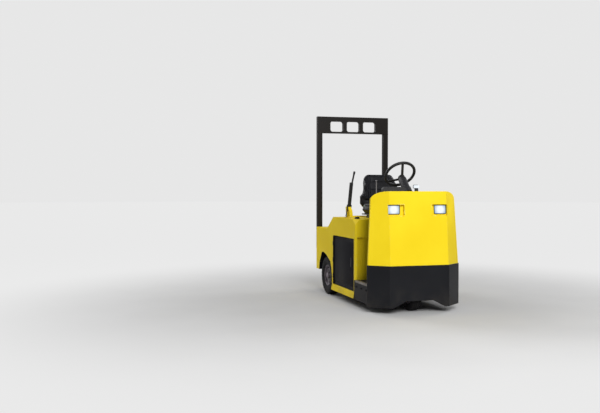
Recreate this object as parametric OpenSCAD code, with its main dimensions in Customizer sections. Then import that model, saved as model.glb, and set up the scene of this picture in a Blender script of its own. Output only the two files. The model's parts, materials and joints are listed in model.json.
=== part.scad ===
// Electric three-wheel tow tractor for baggage trailers.
// +X points forward, +Y to the driver's left, +Z up; the origin lies on the floor,
// midway between the tow hitch's rear edge and the front bumper.

/* [Layout] */
// Distance between the rear axle and the front axle
wheelbase = 1290; // [1240:5:1340]
// Front axle to the bumper's front face
front_overhang = 203; // [200:1:230]
// Rear axle to the body's rear wall
rear_overhang = 380; // [350:5:420]
// Body's rear wall to the tow hitch's rear edge
hitch_reach = 117; // [105:1:140]
// Height of the guard frame's top edge
overall_h = 2000; // [1900:5:2100]
// Width over the rear body's sides
body_w = 908; // [890:2:930]

/* [Rear body] */
// Sheet thickness of the body panels
wall = 5; // [4:0.5:7]
// Height of the seat deck
deck_h = 864; // [845:1:880]
// Height of the lower rear deck
rear_deck_h = 727; // [700:1:750]
// Height of the body's lower edge behind the wheels
tail_edge_h = 251; // [240:1:270]
// Rear axle to the foot of the slope between the decks
slope_start = 44; // [20:1:70]
// Length of the slope between the decks
slope_run = 218; // [190:1:230]
// Rear axle to the seat box's front face
box_front = 975; // [955:1:990]
// Bevel on the seat box's front corners
corner_bevel = 10; // [6:1:16]
// Bevel on the rear corners
tail_bevel = 20; // [10:1:30]
// Drop of the facet on top of the front corners
facet_drop = 55; // [30:1:70]
// Length of the facet along the side
facet_run = 82; // [60:1:100]
// Width of the facet across the front
facet_width = 41; // [30:1:60]
// Width of the border beside the recess in the seat box's front
recess_border = 20; // [16:1:30]
// Height of the edge between the seat box's front band and its recess
recess_h = 686; // [674:1:710]
// Depth of the recess in the seat box's front
recess_depth = 30; // [20:1:36]

/* [Battery doors] */
// Rear axle to the door opening's rear edge
door_start = 277; // [265:1:300]
// Length of the door opening
door_len = 651; // [600:1:655]
// Height of the door opening's lower edge, the top of the sill
door_bottom = 146; // [130:1:160]
// Sill's front end to the seat box's front face
sill_stop = 41; // [36:1:46]
// Distance by which the sill leans out at its lower edge
sill_lean = 12; // [6:1:16]
// Height of the door opening's upper edge
door_top = 670; // [640:1:672]
// Running gap round doors and lid
door_gap = 6; // [5:0.5:8]
// Depth of the door's folded edge
door_depth = 20; // [14:1:26]
// Sheet thickness of the doors
door_sheet = 4; // [3:0.5:6]
// Radius of the hinge barrels
barrel_r = 6; // [5:0.5:6.5]
// Length of a hinge knuckle on the body
knuckle_len = 44; // [30:1:60]
// Distance of the end knuckles from the hinge's ends
knuckle_inset = 60; // [40:1:90]
// Opening gap where hinge knuckles and rests face moving pieces
seat_gap = 0.3; // [0.2:0.05:0.5]

/* [Seat deck lid] */
// Rear axle to the lid's hinge line
lid_start = 310; // [300:1:330]
// Length of the lid
lid_len = 610; // [580:1:625]
// Width of the lid
lid_w = 690; // [660:2:700]
// Depth of the lid's folded edge
lid_depth = 26; // [20:1:32]

/* [Chassis] */
// Height of the chassis' lower edge
keel_h = 80; // [74:1:90]
// Thickness of the chassis plates
plate = 10; // [8:1:12]
// Height of the footwell floor
floor_h = 265; // [255:1:280]
// Thickness of the footwell mat
mat_t = 6; // [4:1:8]
// Width of the chassis rails
rail_w = 60; // [50:1:70]
// Distance between the front rails' centre lines
front_rail_pitch = 620; // [600:2:660]
// Distance between the rear rails' centre lines
rear_rail_pitch = 460; // [440:2:480]
// Height of the rear rails' lower edge
rear_rail_h = 262; // [256:1:270]
// Depth of the rear rails
rear_rail_depth = 70; // [60:1:80]

/* [Front end] */
// Height of the bumper's lower edge
bumper_bottom = 57; // [50:1:70]
// Height of the seam between bumper and cowl
seam_h = 449; // [435:1:465]
// Thickness of the bumper plate
bumper_t = 20; // [16:1:22]
// Distance by which the bumper stands proud of the cowl
bumper_proud = 7; // [4:1:10]
// Width of the cut-out over the front wheel at its lower edge
notch_w = 528; // [480:2:550]
// Width of the cut-out at its upper edge
notch_top_w = 272; // [240:2:300]
// Height of the cut-out's upper edge
notch_h = 119; // [100:1:130]
// Depth of the bumper behind its angled corners
bumper_return = 12; // [8:1:20]
// Height of the cowl's top
cowl_top_h = 1142; // [1120:1:1170]
// Width of the cowl's front face at the seam
face_w = 590; // [570:2:610]
// Width of the cowl's front face at the top
face_top_w = 576; // [550:2:590]
// Width of the cowl at the seam
cowl_w = 926; // [910:2:940]
// How much narrower the cowl is at the top than at the seam
cowl_taper = 69; // [46:1:86]
// Depth of the cowl's angled corners at the seam
corner_run = 136; // [120:1:150]
// Lean of the cowl's face from seam to top
cowl_lean = 50; // [40:1:60]
// Drop of the cowl's top towards its sides
shoulder_drop = 70; // [50:1:84]
// Depth of the cowl behind its angled corners
cowl_return = 24; // [18:1:30]

/* [Lamps] */
// Width of a headlamp pocket
lamp_w = 168; // [160:1:172]
// Height of a headlamp pocket
lamp_h = 112; // [104:1:120]
// Distance between the pockets' centres
lamp_pitch = 440; // [430:2:444]
// Height of the pockets' centre
lamp_mid_h = 966; // [950:1:980]
// Depth from the cowl's face to the lamp's bezel
lamp_recess = 33; // [24:1:40]
// Sheet thickness of a pocket
lamp_wall = 4; // [3:0.5:5]
// Width of a headlamp's lens
lens_w = 118; // [108:1:124]
// Height of a headlamp's lens
lens_h = 66; // [58:1:72]
// Distance of the lens from the pocket's middle towards the side
lens_side = 16; // [10:1:17]
// Distance of the lens above the pocket's middle
lens_rise = 6; // [0:1:10]
// Width of the marker lamp on the cowl
marker_w = 46; // [40:1:60]
// Height of the marker lamp's lens
marker_h = 27; // [22:1:36]
// Height of the marker lamp's foot
marker_foot_h = 30; // [24:1:36]

/* [Dash and steering] */
// Depth of the dash behind the cowl
dash_depth = 84; // [70:1:100]
// Distance by which the dash narrows to its back on each side
dash_taper = 66; // [50:1:80]
// Height of the dash's lower edge
dash_bottom = 480; // [460:1:520]
// Wall thickness of the moulded dash
moulding = 4; // [3:0.5:6]
// Width of the steering pedestal
pedestal_w = 352; // [350:2:380]
// Width of the instrument hood
hood_w = 236; // [200:2:250]
// Height of the instrument hood over the dash
hood_h = 112; // [90:1:120]
// Distance between the hood's inner end and the centre line
hood_start = 48; // [44:1:60]
// Length of the thin rod on the dash
rod_len = 168; // [150:1:180]
// Rear axle to the steering wheel's centre
wheel_reach = 1010; // [990:5:1030]
// Height of the steering wheel's centre
wheel_mid_h = 1311; // [1295:1:1330]
// Slope of the steering column above the horizontal
column_slope = 43; // [38:1:48]
// Diameter of the steering wheel
wheel_d = 322; // [300:2:350]
// Thickness of the steering wheel's rim
grip_d = 29; // [24:1:32]
// Depth of the steering wheel's hub below its rim
wheel_dish = 56; // [40:1:62]
// Radius of the steering column's cover
column_r = 40; // [34:1:42]
// Radius of the column's lower tube
tube_r = 24; // [20:1:24]
// Radius of the steering shaft
shaft_r = 12; // [10:1:14]
// Running clearance of shafts in their bearings
running_gap = 0.06; // [0.03:0.01:0.08]

/* [Seat] */
// Rear axle to the cushion's rear edge
seat_start = 520; // [500:5:530]
// Length of the seat cushion
cushion_len = 405; // [380:5:420]
// Width of the seat cushion
cushion_w = 480; // [460:2:500]
// Thickness of the seat cushion
cushion_t = 108; // [95:1:120]
// Height of the seat's slides and tray over the deck
seat_base_h = 42; // [34:1:50]
// Height of the backrest's top over the deck
backrest_top = 466; // [440:2:490]
// Thickness of the backrest
backrest_t = 92; // [80:1:100]
// Width of the backrest at its top
backrest_top_w = 346; // [320:2:370]
// Lean of the backrest from its foot to its top
backrest_lean = 62; // [40:1:80]
// Length of the tray under the cushion
tray_len = 430; // [400:5:440]
// Width of the seat's tray
tray_w = 400; // [380:5:420]
// Thickness of the tray's edge
tray_t = 12; // [8:1:14]
// Length of a seat slide
slide_len = 320; // [300:5:340]
// Distance from the middle to a slide
slide_y = 150; // [140:5:165]
// Width of a slide
slide_w = 30; // [24:1:34]
// Height of the straps that carry the backrest
strap_h = 50; // [40:1:60]

/* [Hand lever] */
// Distance of the lever from the centre line
lever_side = 400; // [396:1:404]
// Rear axle to the lever's pivot
lever_reach = 603; // [590:2:615]
// Height of the lever's pivot over the deck
pivot_h = 26; // [22:1:32]
// Length of the fork that straddles the bracket
fork_len = 104; // [100:1:120]
// Length of the sleeve above the fork
sleeve_len = 246; // [220:1:260]
// Width of the sleeve
sleeve_w = 34; // [30:1:38]
// Length of the release rod above the sleeve
release_len = 131; // [110:1:140]
// Lean of the fork and the sleeve from the vertical
lever_lean = 16; // [12:1:20]
// Lean of the release rod from the vertical
release_lean = 32; // [26:1:36]
// Radius of the bracket's curved edge about the pivot
quadrant_r = 96; // [90:1:98]
// Width of the bracket between the fork's blades
bracket_w = 31; // [27:1:33]

/* [Guard frame] */
// Width over the posts
guard_w = 869; // [850:1:880]
// Width of a post
post_w = 58; // [50:1:64]
// Depth of the posts and the beam
post_depth = 50; // [40:1:60]
// Height of the posts' lower ends
post_foot_h = 480; // [440:5:520]
// Depth of the top beam
beam_h = 191; // [180:1:200]
// Width of a slot in the beam
slot_w = 158; // [140:1:166]
// Height of a slot in the beam
slot_h = 119; // [100:1:124]
// Distance between slot centres
slot_pitch = 200; // [190:1:206]
// Beam's lower edge to the slots
slot_rise = 19; // [15:1:26]
// Corner radius of the slots
slot_r = 26; // [16:1:34]

/* [Wheels] */
// Diameter of the rear tyres
rear_d = 415; // [405:1:420]
// Width of the rear tyres
rear_tyre_w = 110; // [100:1:114]
// Distance of the tyres' outer faces behind the body's sides
tyre_inset = 9; // [6:1:14]
// Diameter of the front tyre
front_d = 305; // [296:1:308]
// Width of the front tyre
front_tyre_w = 95; // [85:1:100]
// Radius of the rear rims
rear_rim_r = 108; // [100:1:114]
// Radius of the front rim
front_rim_r = 78; // [70:1:84]
// Radius of the wheel spindles
spindle_r = 20; // [16:1:24]
// Radius of the king pin
king_pin_r = 30; // [26:1:34]
// Gap between tyre and fork blade
fork_gap = 10; // [8:1:14]
// Thickness of the fork's blades and crown
fork_t = 18; // [14:1:22]

/* [Tow hitch] */
// Radius of the drop pin's bore
pin_bore_r = 13; // [10:0.5:16]
// Thickness of a jaw plate
jaw_t = 16; // [12:1:20]
// Distance from one jaw plate to the next
jaw_pitch = 70; // [60:1:80]
// Width of the jaw plates
jaw_w = 100; // [80:2:120]
// Height of the lowest jaw plate
jaw_h = 318; // [300:1:340]

/* [Rear lamps] */
// Distance of the rear lamps from the centre line
rear_lamp_side = 290; // [270:2:310]
// Height of the rear lamps' centre
rear_lamp_h = 640; // [620:2:650]
// Width of a rear lamp
rear_lamp_w = 120; // [100:2:130]

/* [Hidden] */
$fn = 48;

// Stations along the vehicle
rear_reach = rear_overhang + hitch_reach;
front_reach = wheelbase + front_overhang;
rear_axle_x = (rear_reach - front_reach) / 2;
front_axle_x = rear_axle_x + wheelbase;
front_x = rear_axle_x + front_reach;
tail_x = rear_axle_x - rear_overhang;
hitch_x = tail_x - hitch_reach;
box_x = rear_axle_x + box_front;
side = body_w / 2;

// Cowl and bumper
cowl_x = front_x - bumper_proud;
cowl_top_x = cowl_x - cowl_lean;
cowl_top_w = cowl_w - cowl_taper;
corner_slope = corner_run / (cowl_w - face_w) * 2;
cowl_side_x = cowl_x - corner_run;
shoulder_h = cowl_top_h - shoulder_drop;
cowl_top_side_x = corner_point(cowl_top_w / 2, shoulder_h)[0];
// The dash's top plate meets the cowl's back edge at its shoulders
dash_h = shoulder_h;
cowl_back_x = cowl_side_x - cowl_return;
bumper_back_x = cowl_side_x - bumper_return;
cowl_top_back_x = cowl_top_side_x - cowl_return;
yellow = "gold";
black = "dimgray";

// Footwell, tunnel and steering head
recess_x = box_x - recess_depth;
wheel_sweep = sqrt(pow(front_d / 2, 2) + pow(front_tyre_w / 2, 2));
tunnel_half = wheel_sweep + 10;
tunnel_back_x = front_axle_x - tunnel_half;
crown_h = front_d + fork_gap;
head_h = crown_h + fork_t + 6;
head_top_h = head_h + plate;
bearing_h = 70;
head_front_x = front_x - bumper_t;
dash_x = cowl_back_x - dash_depth;
dash_top_x = cowl_top_back_x - dash_depth;
// The pedestal's cutting block starts well behind the dash
pedestal_back_x = dash_x - 200;

// Rear wheels and axle
rear_r = rear_d / 2;
rear_face = side - tyre_inset;
liner_in = rear_face - rear_tyre_w - 14;
// Wheel arch outline: distance ahead of the rear axle, height above the floor
ARCH = [
  [-256, tail_edge_h], [-240, 335], [-150, 455], [-90, 462],
  [10, 442], [165, 378], [208, 300], [222, door_bottom]
];

// A block from its lower and upper limits along each axis
module block(x, y, z) {
  translate([x[0], y[0], z[0]]) cube([x[1] - x[0], y[1] - y[0], z[1] - z[0]]);
}

// Limits at a distance to both sides of a middle
function around(middle, half) = [middle - half, middle + half];

// The same piece on the right and on the left of the centre line
module both_sides() {
  children();
  mirror([0, 1, 0]) children();
}

// A side view outline swept between two distances from the centre line
module across(from, to) {
  translate([0, to, 0]) rotate([90, 0, 0]) linear_extrude(to - from) children();
}

// A front view outline swept between two stations
module along(from, to) {
  translate([from, 0, 0]) rotate([90, 0, 90]) linear_extrude(to - from) children();
}

// A rectangle with round corners, centred
module round_rect(w, h, r) {
  square([w - 2 * r, h], center = true);
  square([w, h - 2 * r], center = true);
  for (x = [-1, 1], y = [-1, 1]) {
    translate([x * (w / 2 - r), y * (h / 2 - r)]) circle(r);
  }
}

// The convex body over a list of corner points
module solid_over(points) {
  hull() polyhedron(points, [[for (i = [0 : len(points) - 1]) i]]);
}

// Corner points mirrored to the other side
function with_mirror(points) = concat(points, [for (p = points) [p[0], -p[1], p[2]]]);

// Plan outline of the rear body, its corners bevelled
function body_plan(inset) = [
  [tail_x + inset, side - tail_bevel], [tail_x + tail_bevel, side - inset],
  [box_x - corner_bevel, side - inset], [box_x - inset, side - corner_bevel]
];

module body_plan_area(inset) {
  half = body_plan(inset);
  polygon(concat(half, [for (i = [len(half) - 1 : -1 : 0]) [half[i][0], -half[i][1]]]));
}

// Side outline of the rear body down to a lower edge
module body_side_area(inset, tail_low, box_low) {
  polygon([
    [tail_x + inset, tail_low], [tail_x + inset, rear_deck_h - inset],
    [rear_axle_x + slope_start + inset / 2, rear_deck_h - inset],
    [rear_axle_x + slope_start + slope_run + inset / 2, deck_h - inset],
    [box_x - inset, deck_h - inset], [box_x - inset, box_low],
    [rear_axle_x + ARCH[7][0], box_low], [rear_axle_x + ARCH[7][0], tail_low]
  ]);
}

module body_solid(inset, tail_low, box_low) {
  intersection() {
    across(-side, side) body_side_area(inset, tail_low, box_low);
    translate([0, 0, box_low - 1]) linear_extrude(deck_h) body_plan_area(inset);
  }
}

// The arch outline drawn in by a sheet's thickness, its open foot lowered by a drop
module arch_area(inset, drop) {
  middle = [0, rear_r];
  outline = [for (p = ARCH) p - inset * (p - middle) / norm(p - middle)];
  last = len(ARCH) - 1;
  low = [[outline[last][0], outline[last][1] - drop], [outline[0][0], outline[0][1] - drop]];
  translate([rear_axle_x, 0]) polygon(concat(outline, low));
}

module rear_body() {
  color(yellow) {
    body_shell();
    lid_gutter();
    both_sides() door_knuckles();
    lid_knuckles();
  }
}

module body_shell() {
  difference() {
    body_solid(0, tail_edge_h, door_bottom);
    difference() {
      body_solid(wall, tail_edge_h - 2, door_bottom - 2);
      both_sides() corner_facet(wall);
    }
    across(-side - 1, side + 1) arch_area(0, 4);
    block(
      [rear_axle_x + door_start, rear_axle_x + door_start + door_len],
      [-side - 1, side + 1], [door_bottom - 1, door_top]
    );
    block([recess_x - 1, box_x + 1], [-recess_half, recess_half], [door_bottom - 1, recess_h]);
    block(
      [lid_x - door_gap, lid_x + lid_len + door_gap],
      [-lid_w / 2 - door_gap, lid_w / 2 + door_gap], [deck_h - wall - 1, deck_h + 1]
    );
    block([box_x - sill_stop, box_x + 1], [-side - 1, side + 1], [door_bottom - 2, floor_h]);
    both_sides() corner_facet(0);
  }
}

// Rain gutter under the lid's folded edge
module lid_gutter() {
  low = deck_h - lid_depth - seat_gap;
  out = [lid_x - door_gap - wall, lid_x + lid_len + door_gap + wall];
  half = lid_w / 2 + door_gap + wall;
  difference() {
    block(out, around(0, half), [low - wall, deck_h - wall / 2]);
    block(out + wall * [1, -1], around(0, half - wall), [low, deck_h]);
    block(out + 4 * wall * [1, -1], around(0, half - 4 * wall), [low - wall - 1, deck_h]);
  }
}

// Places of the three knuckles along a hinge of some length
function knuckle_places(length) = [
  knuckle_inset, (length - knuckle_len) / 2, length - knuckle_inset - knuckle_len
];

module door_knuckles() {
  for (z = knuckle_places(door_high - door_low)) translate([door_hinge_x, 0, door_low + z]) {
    translate([0, door_hinge_y, 0]) cylinder(r = barrel_r, h = knuckle_len);
    block([-32, 0], [side, door_hinge_y], [0, knuckle_len]);
  }
}

module lid_knuckles() {
  for (y = knuckle_places(lid_hinge_len)) translate([lid_x, y - lid_hinge_len / 2, 0]) {
    translate([0, knuckle_len, lid_hinge_h]) rotate([90, 0, 0]) {
      cylinder(r = barrel_r, h = knuckle_len);
    }
    block([-26, 0], [0, knuckle_len], [deck_h, lid_hinge_h]);
  }
}

recess_half = side - recess_border;
lid_x = rear_axle_x + lid_start;
lid_hinge_h = deck_h + barrel_r + seat_gap;
lid_hinge_len = lid_w - 60;

// Point on the plane of a front corner's facet, in shares of the facet's three legs
function facet_point(share, inset) = [
  box_x - share[0] * facet_run, side - share[1] * facet_width, deck_h - share[2] * facet_drop
] - inset * facet_slope / norm(facet_slope);

facet_slope = [1 / facet_run, 1 / facet_width, 1 / facet_drop];

// The cut that leaves a three-cornered facet on top of a front corner
module corner_facet(inset) {
  beyond = -0.5;
  far = 1 - 2 * beyond;
  solid_over([for (share = [
    [far, beyond, beyond], [beyond, far, beyond], [beyond, beyond, far], [beyond, beyond, beyond]
  ]) facet_point(share, inset)]);
}

// Yellow bulkhead set back between the seat box's corners
module footwell_panel() {
  color(yellow) {
    block([recess_x - wall, recess_x], [-recess_half, recess_half], [floor_h - mat_t, recess_h]);
    block([recess_x - wall, box_x - wall], [-recess_half, recess_half], [recess_h, recess_h + wall]);
    both_sides() block(
      [recess_x - wall, box_x - wall], [recess_half, recess_half + wall],
      [floor_h, recess_h + wall]
    );
  }
}

// Inner skins of the rear wheel arches
module arch_liners() {
  color(black) both_sides() {
    difference() {
      across(liner_in, side) arch_area(0, 0);
      across(liner_in + wall, side + 1) arch_area(wall, 60);
      across(liner_in - 1, side) translate([rear_axle_x, rear_r]) circle(axle_tube_r + 12);
      across(liner_in - 1, side) {
        translate([rear_axle_x - axle_tube_r - 12, 0]) square([2 * axle_tube_r + 24, rear_r]);
      }
    }
  }
}

// Sills: bent plates below the doors that lean out to their lower edge
module sills() {
  start = rear_axle_x + ARCH[7][0];
  color(yellow) both_sides() along(start, box_x - sill_stop) polygon([
    [side - 4 * wall, door_bottom], [side - wall, door_bottom], [side, door_bottom - wall],
    [side + sill_lean, keel_h], [side + sill_lean - wall, keel_h],
    [side - wall, door_bottom - 2 * wall], [side - 4 * wall, door_bottom - wall]
  ]);
}

tray_x = rear_axle_x + ARCH[7][0] + 3;
tray_end_x = recess_x - wall;
tray_half = side - 4 * wall;

module chassis() {
  color("black") {
    // Battery tray and its end walls
    block([tray_x, tray_end_x], [-tray_half, tray_half], [keel_h, keel_h + plate]);
    block([tray_x, tray_x + plate], [-liner_in, liner_in], [keel_h, door_top]);
    block([tray_end_x - plate, tray_end_x], [-tray_half, tray_half], [keel_h, floor_h - mat_t]);
    both_sides() {
      // Front rails, skirts and the web that ties them
      block(
        [tray_end_x - plate, cowl_side_x], around(front_rail_pitch / 2, rail_w / 2),
        [keel_h + 2 * plate, floor_h - mat_t]
      );
      block([box_x - sill_stop, bumper_back_x], [side - wall, side], [keel_h - wall, floor_h]);
      block(
        [tray_end_x, cowl_side_x], [tunnel_half + wall, side - wall],
        [floor_h - mat_t - plate, floor_h - mat_t]
      );
      // Rear rails over the axle
      block(
        [tail_x + wall, tray_x], around(rear_rail_pitch / 2, rail_w / 2),
        [rear_rail_h, rear_rail_h + rear_rail_depth]
      );
    }
    // Floor plate behind the wheel tunnel
    block(
      [tray_end_x, tunnel_back_x - wall], around(0, side - wall),
      [floor_h - mat_t - plate, floor_h - mat_t]
    );
    // Tail plate behind the hitch
    block(
      [tail_x + wall, tail_x + wall + 3 * plate],
      [-rear_rail_pitch / 2 - rail_w, rear_rail_pitch / 2 + rail_w],
      [tail_edge_h, post_foot_h + 130]
    );
    // Front cross plates between the rails and the steering head
    both_sides() block(
      [tunnel_back_x, front_axle_x], [tunnel_half, front_rail_pitch / 2 - rail_w / 2],
      [keel_h + 2 * plate, keel_h + 4 * plate]
    );
  }
}

module wheel_tunnel() {
  outer = tunnel_half + wall;
  color("black") difference() {
    union() {
      difference() {
        block([tunnel_back_x - wall, head_front_x], [-outer, outer], [keel_h + 4 * plate, head_h]);
        block(
          [tunnel_back_x, head_front_x + 1], [-tunnel_half, tunnel_half],
          [keel_h, head_h + 1]
        );
      }
      block([tunnel_back_x - wall, head_front_x], [-outer, outer], [head_h, head_top_h]);
      translate([front_axle_x, 0, head_top_h]) cylinder(r = king_pin_r + 16, h = bearing_h);
    }
    translate([front_axle_x, 0, 0]) cylinder(r = king_pin_r + running_gap, h = cowl_top_h);
  }
}

module floor_mat() {
  outer = tunnel_half + wall;
  color("#202022") difference() {
    block([recess_x, cowl_side_x], [-side + wall, side - wall], [floor_h - mat_t, floor_h]);
    block([tunnel_back_x - wall, front_x], [-outer, outer], [0, floor_h + 1]);
  }
}

module step_trims() {
  color("silver") both_sides() {
    block([box_x + 4, bumper_back_x - 2], [side - 24, side + 3], [floor_h, floor_h + 3]);
    block([box_x + 4, bumper_back_x - 2], [side, side + 3], [floor_h - 18, floor_h]);
  }
}

// Plan outline of the bumper: face, angled corners, short sides
function bumper_plan(inset) = [
  [front_x - inset, face_w / 2 + bumper_proud / 2 - inset / 2],
  [cowl_side_x, cowl_w / 2 + bumper_proud + 1 - inset],
  [bumper_back_x, cowl_w / 2 + bumper_proud + 1 - inset]
];

module bumper_area(inset, back) {
  half = bumper_plan(inset);
  open = [[bumper_back_x - back, half[2][1]]];
  full = back > 0 ? concat(half, open) : half;
  polygon(concat(full, [for (i = [len(full) - 1 : -1 : 0]) [full[i][0], -full[i][1]]]));
}

module front_bumper() {
  color("#26262a") difference() {
    translate([0, 0, bumper_bottom]) linear_extrude(seam_h - bumper_bottom) bumper_area(0, 0);
    linear_extrude(seam_h + 1) bumper_area(bumper_t, 8);
    along(head_front_x - 40, front_x + 1) polygon([
      [-notch_w / 2, bumper_bottom - 1], [-notch_top_w / 2, notch_h],
      [notch_top_w / 2, notch_h], [notch_w / 2, bumper_bottom - 1]
    ]);
  }
}

// Share of the way from the seam up to the cowl's shoulder
function rise(z) = (z - seam_h) / (shoulder_h - seam_h);

function cowl_half_at(z) = (cowl_w + (cowl_top_w - cowl_w) * rise(z)) / 2;

// Corner of the cowl's face at a height: station, distance from the centre line
function face_corner(z) = let (up = (z - seam_h) / (cowl_top_h - seam_h)) [
  cowl_x - cowl_lean * up, (face_w + (face_top_w - face_w) * up) / 2
];

// Point of the angled corner's plane at a distance from the centre line and a height
function corner_point(y, z) = let (face = face_corner(z)) [
  face[0] - corner_slope * (y - face[1]), y, z
];

// Point of the shoulder's arc on the angled corner: at turn 0 the face's top, at 90 the side
function shoulder_point(turn, t) = let (
  z = cowl_top_h - shoulder_drop * (1 - cos(turn)),
  face_y = face_corner(z)[1],
  drawn_in = [t * (1 - sin(turn) / 2), t * (1 + sin(turn)) / 2, t]
) corner_point(face_y + (cowl_half_at(z) - face_y) * sin(turn), z) - drawn_in;

// Corner points of the cowl, drawn in by a wall thickness; its top falls to the dash
function cowl_points(t) = with_mirror(concat(
  [
    [cowl_x - t, face_w / 2 - t / 2, seam_h],
    [cowl_side_x - t / 2, cowl_w / 2 - t, seam_h],
    [cowl_back_x, cowl_w / 2 - t, seam_h],
    [cowl_top_back_x, cowl_top_w / 2 - t, shoulder_h - t]
  ],
  [for (turn = [0 : 15 : 90]) shoulder_point(turn, t)]
));

module cowl() {
  color(yellow) difference() {
    solid_over(cowl_points(0));
    translate([-0.02, 0, -0.02]) solid_over(cowl_points(wall));
    both_sides() lamp_frame() pocket_shape(-2 * lamp_recess, lamp_recess, seat_gap);
  }
}

// A headlamp's frame lies at its pocket's middle on the cowl's face, +X out of the face
module lamp_frame() {
  lean = atan(cowl_lean / (cowl_top_h - seam_h));
  translate([face_corner(lamp_mid_h)[0], lamp_pitch / 2, lamp_mid_h]) rotate([0, -lean, 0]) {
    children();
  }
}

// The space of a pocket between two depths
module pocket_shape(from, to, grow) {
  along(from, to) round_rect(lamp_w + 2 * grow, lamp_h + 2 * grow, 8 + grow);
}

// The space of the lens and of the bowl behind it
module lens_shape(from, to, shrink) {
  translate([0, lens_side, lens_rise]) along(from, to) {
    round_rect(lens_w - 2 * shrink, lens_h - 2 * shrink, 12);
  }
}

bowl_depth = 24;

// Folded pocket with its bezel plate and the lamp's bowl; its edge follows the cowl's faces
module headlamp() {
  color(yellow) difference() {
    intersection() {
      lamp_frame() pocket_shape(-lamp_recess - bowl_depth - 2 * lamp_wall, 3 * lamp_wall, 0);
      solid_over(cowl_points(-lamp_wall / 2));
    }
    lamp_frame() {
      pocket_shape(-lamp_recess, lamp_recess, -lamp_wall);
      lens_shape(-lamp_recess - bowl_depth, 0, 0);
    }
  }
}

module headlamp_lens() {
  color("white") lamp_frame() {
    lens_shape(-lamp_recess - lamp_wall, -lamp_recess + lamp_wall / 2, seat_gap);
  }
}

marker_x = cowl_top_x - 32;
marker_depth = 32;

// Foot of the marker lamp, cut to the cowl's top, with the shell behind the lens
module marker_foot() {
  color(black) difference() {
    union() {
      along(marker_x - 16, marker_x + 12) polygon([
        [-17, shoulder_h], [-13, cowl_top_h + marker_foot_h],
        [13, cowl_top_h + marker_foot_h], [17, shoulder_h]
      ]);
      along(marker_x - marker_depth / 2 - 5, marker_x - marker_depth / 2) {
        translate([0, cowl_top_h + marker_foot_h + marker_h / 2]) {
          round_rect(marker_w + 8, marker_h + 8, 10);
        }
      }
    }
    solid_over(cowl_points(0));
  }
}

module marker_lens() {
  color("white") along(marker_x - marker_depth / 2, marker_x + marker_depth / 2) {
    translate([0, cowl_top_h + marker_foot_h + marker_h / 2]) round_rect(marker_w, marker_h, 8);
  }
}

function cowl_back_at(z) = cowl_back_x + (cowl_top_back_x - cowl_back_x) * rise(z);

// Corner points of the dash moulding, drawn in by its wall; start 0 is the cowl's back edge
function dash_points(t, start) = with_mirror([
  for (z = [dash_bottom + t, dash_h - t], back = [start, 1]) [
    cowl_back_at(z) + back * (t - dash_depth), cowl_half_at(z) - t - back * dash_taper, z
  ]
]);

module dash_panel() {
  color("#303034") {
    difference() {
      solid_over(dash_points(0, 0));
      solid_over(dash_points(moulding, -0.4));
      pedestal_space();
    }
    instrument_hood();
  }
}

// Hood over the instruments: it stands on the dash's top plate and on the pedestal's
module instrument_hood() {
  top = dash_h + hood_h;
  middle = -hood_start - hood_w / 2;
  difference() {
    intersection() {
      across(-hood_start - hood_w, -hood_start) polygon([
        [dash_top_x + 14, dash_h], [dash_top_x, top - 10], [dash_top_x + 10, top],
        [cowl_top_back_x - 26, top - 4], [cowl_top_back_x - 4, dash_h]
      ]);
      along(pedestal_back_x, front_x) translate([middle, dash_h]) round_rect(hood_w, 2 * hood_h, 28);
    }
    along(dash_top_x - 1, dash_top_x + 26) translate([middle, dash_h + hood_h / 2]) {
      round_rect(hood_w - 36, hood_h - 36, 12);
    }
  }
  block(
    around(dash_top_x + dash_depth / 2, dash_depth / 4),
    [8 - hood_start - hood_w, -8 - pedestal_w / 2], around(dash_h, moulding / 2)
  );
}

// The steering pedestal runs from the tunnel's roof to the dash's top
module pedestal_space() {
  block([pedestal_back_x, front_x], around(0, pedestal_w / 2), [0, dash_h + 1]);
}

pedestal_x = tunnel_back_x - wall;

module pedestal_shape(t) {
  across(-pedestal_w / 2 + t, pedestal_w / 2 - t) polygon([
    [cowl_side_x - 40 + 10 * t, head_top_h - t], [pedestal_x + t, head_top_h - t],
    [pedestal_x + t, dash_bottom], [dash_top_x + t, dash_bottom + 180],
    [dash_top_x + t, dash_h - t], [cowl_top_back_x + 10 * t, dash_h - t]
  ]);
}

module pedestal() {
  color("#303034") difference() {
    pedestal_shape(0);
    pedestal_shape(moulding);
    column_frame() cylinder(r = tube_r, h = 2 * column_len, center = true);
  }
}

// Steering column: its own frame lies at the wheel's centre, +Z towards the driver
wheel_x = rear_axle_x + wheel_reach;
column_len = (wheel_mid_h - dash_h) / sin(column_slope) + 20;
cover_len = (wheel_mid_h - cowl_top_h) / sin(column_slope) + 30;
hub_back = wheel_dish + 12;

module column_frame() {
  translate([wheel_x, 0, wheel_mid_h]) rotate([0, column_slope - 90, 0]) children();
}

module steering_column() {
  color("#2a2a2e") column_frame() difference() {
    union() {
      translate([0, 0, -column_len]) cylinder(r = tube_r - seat_gap, h = column_len - cover_len + 10);
      translate([0, 0, -cover_len]) cylinder(r = column_r, h = cover_len - hub_back - 8);
      translate([0, 0, -cover_len]) cylinder(r = column_r + 6, h = 60);
    }
    translate([0, 0, -hub_back - 94]) cylinder(r = shaft_r + running_gap, h = 95);
  }
}

module steering_wheel() {
  ring_r = (wheel_d - grip_d) / 2;
  color("#18181a") column_frame() {
    rotate_extrude() translate([ring_r, 0]) circle(grip_d / 2);
    translate([0, 0, -hub_back]) cylinder(r = 34, h = 24);
    translate([0, 0, -hub_back - 84]) cylinder(r = shaft_r, h = 90);
    for (turn = [-5, 135, 225]) rotate([90, 0, turn]) {
      linear_extrude(24, center = true) polygon([
        [20, -wheel_dish - 8], [ring_r - 6, -4], [ring_r - 2, 4], [20, -wheel_dish + 4]
      ]);
    }
  }
}

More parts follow.
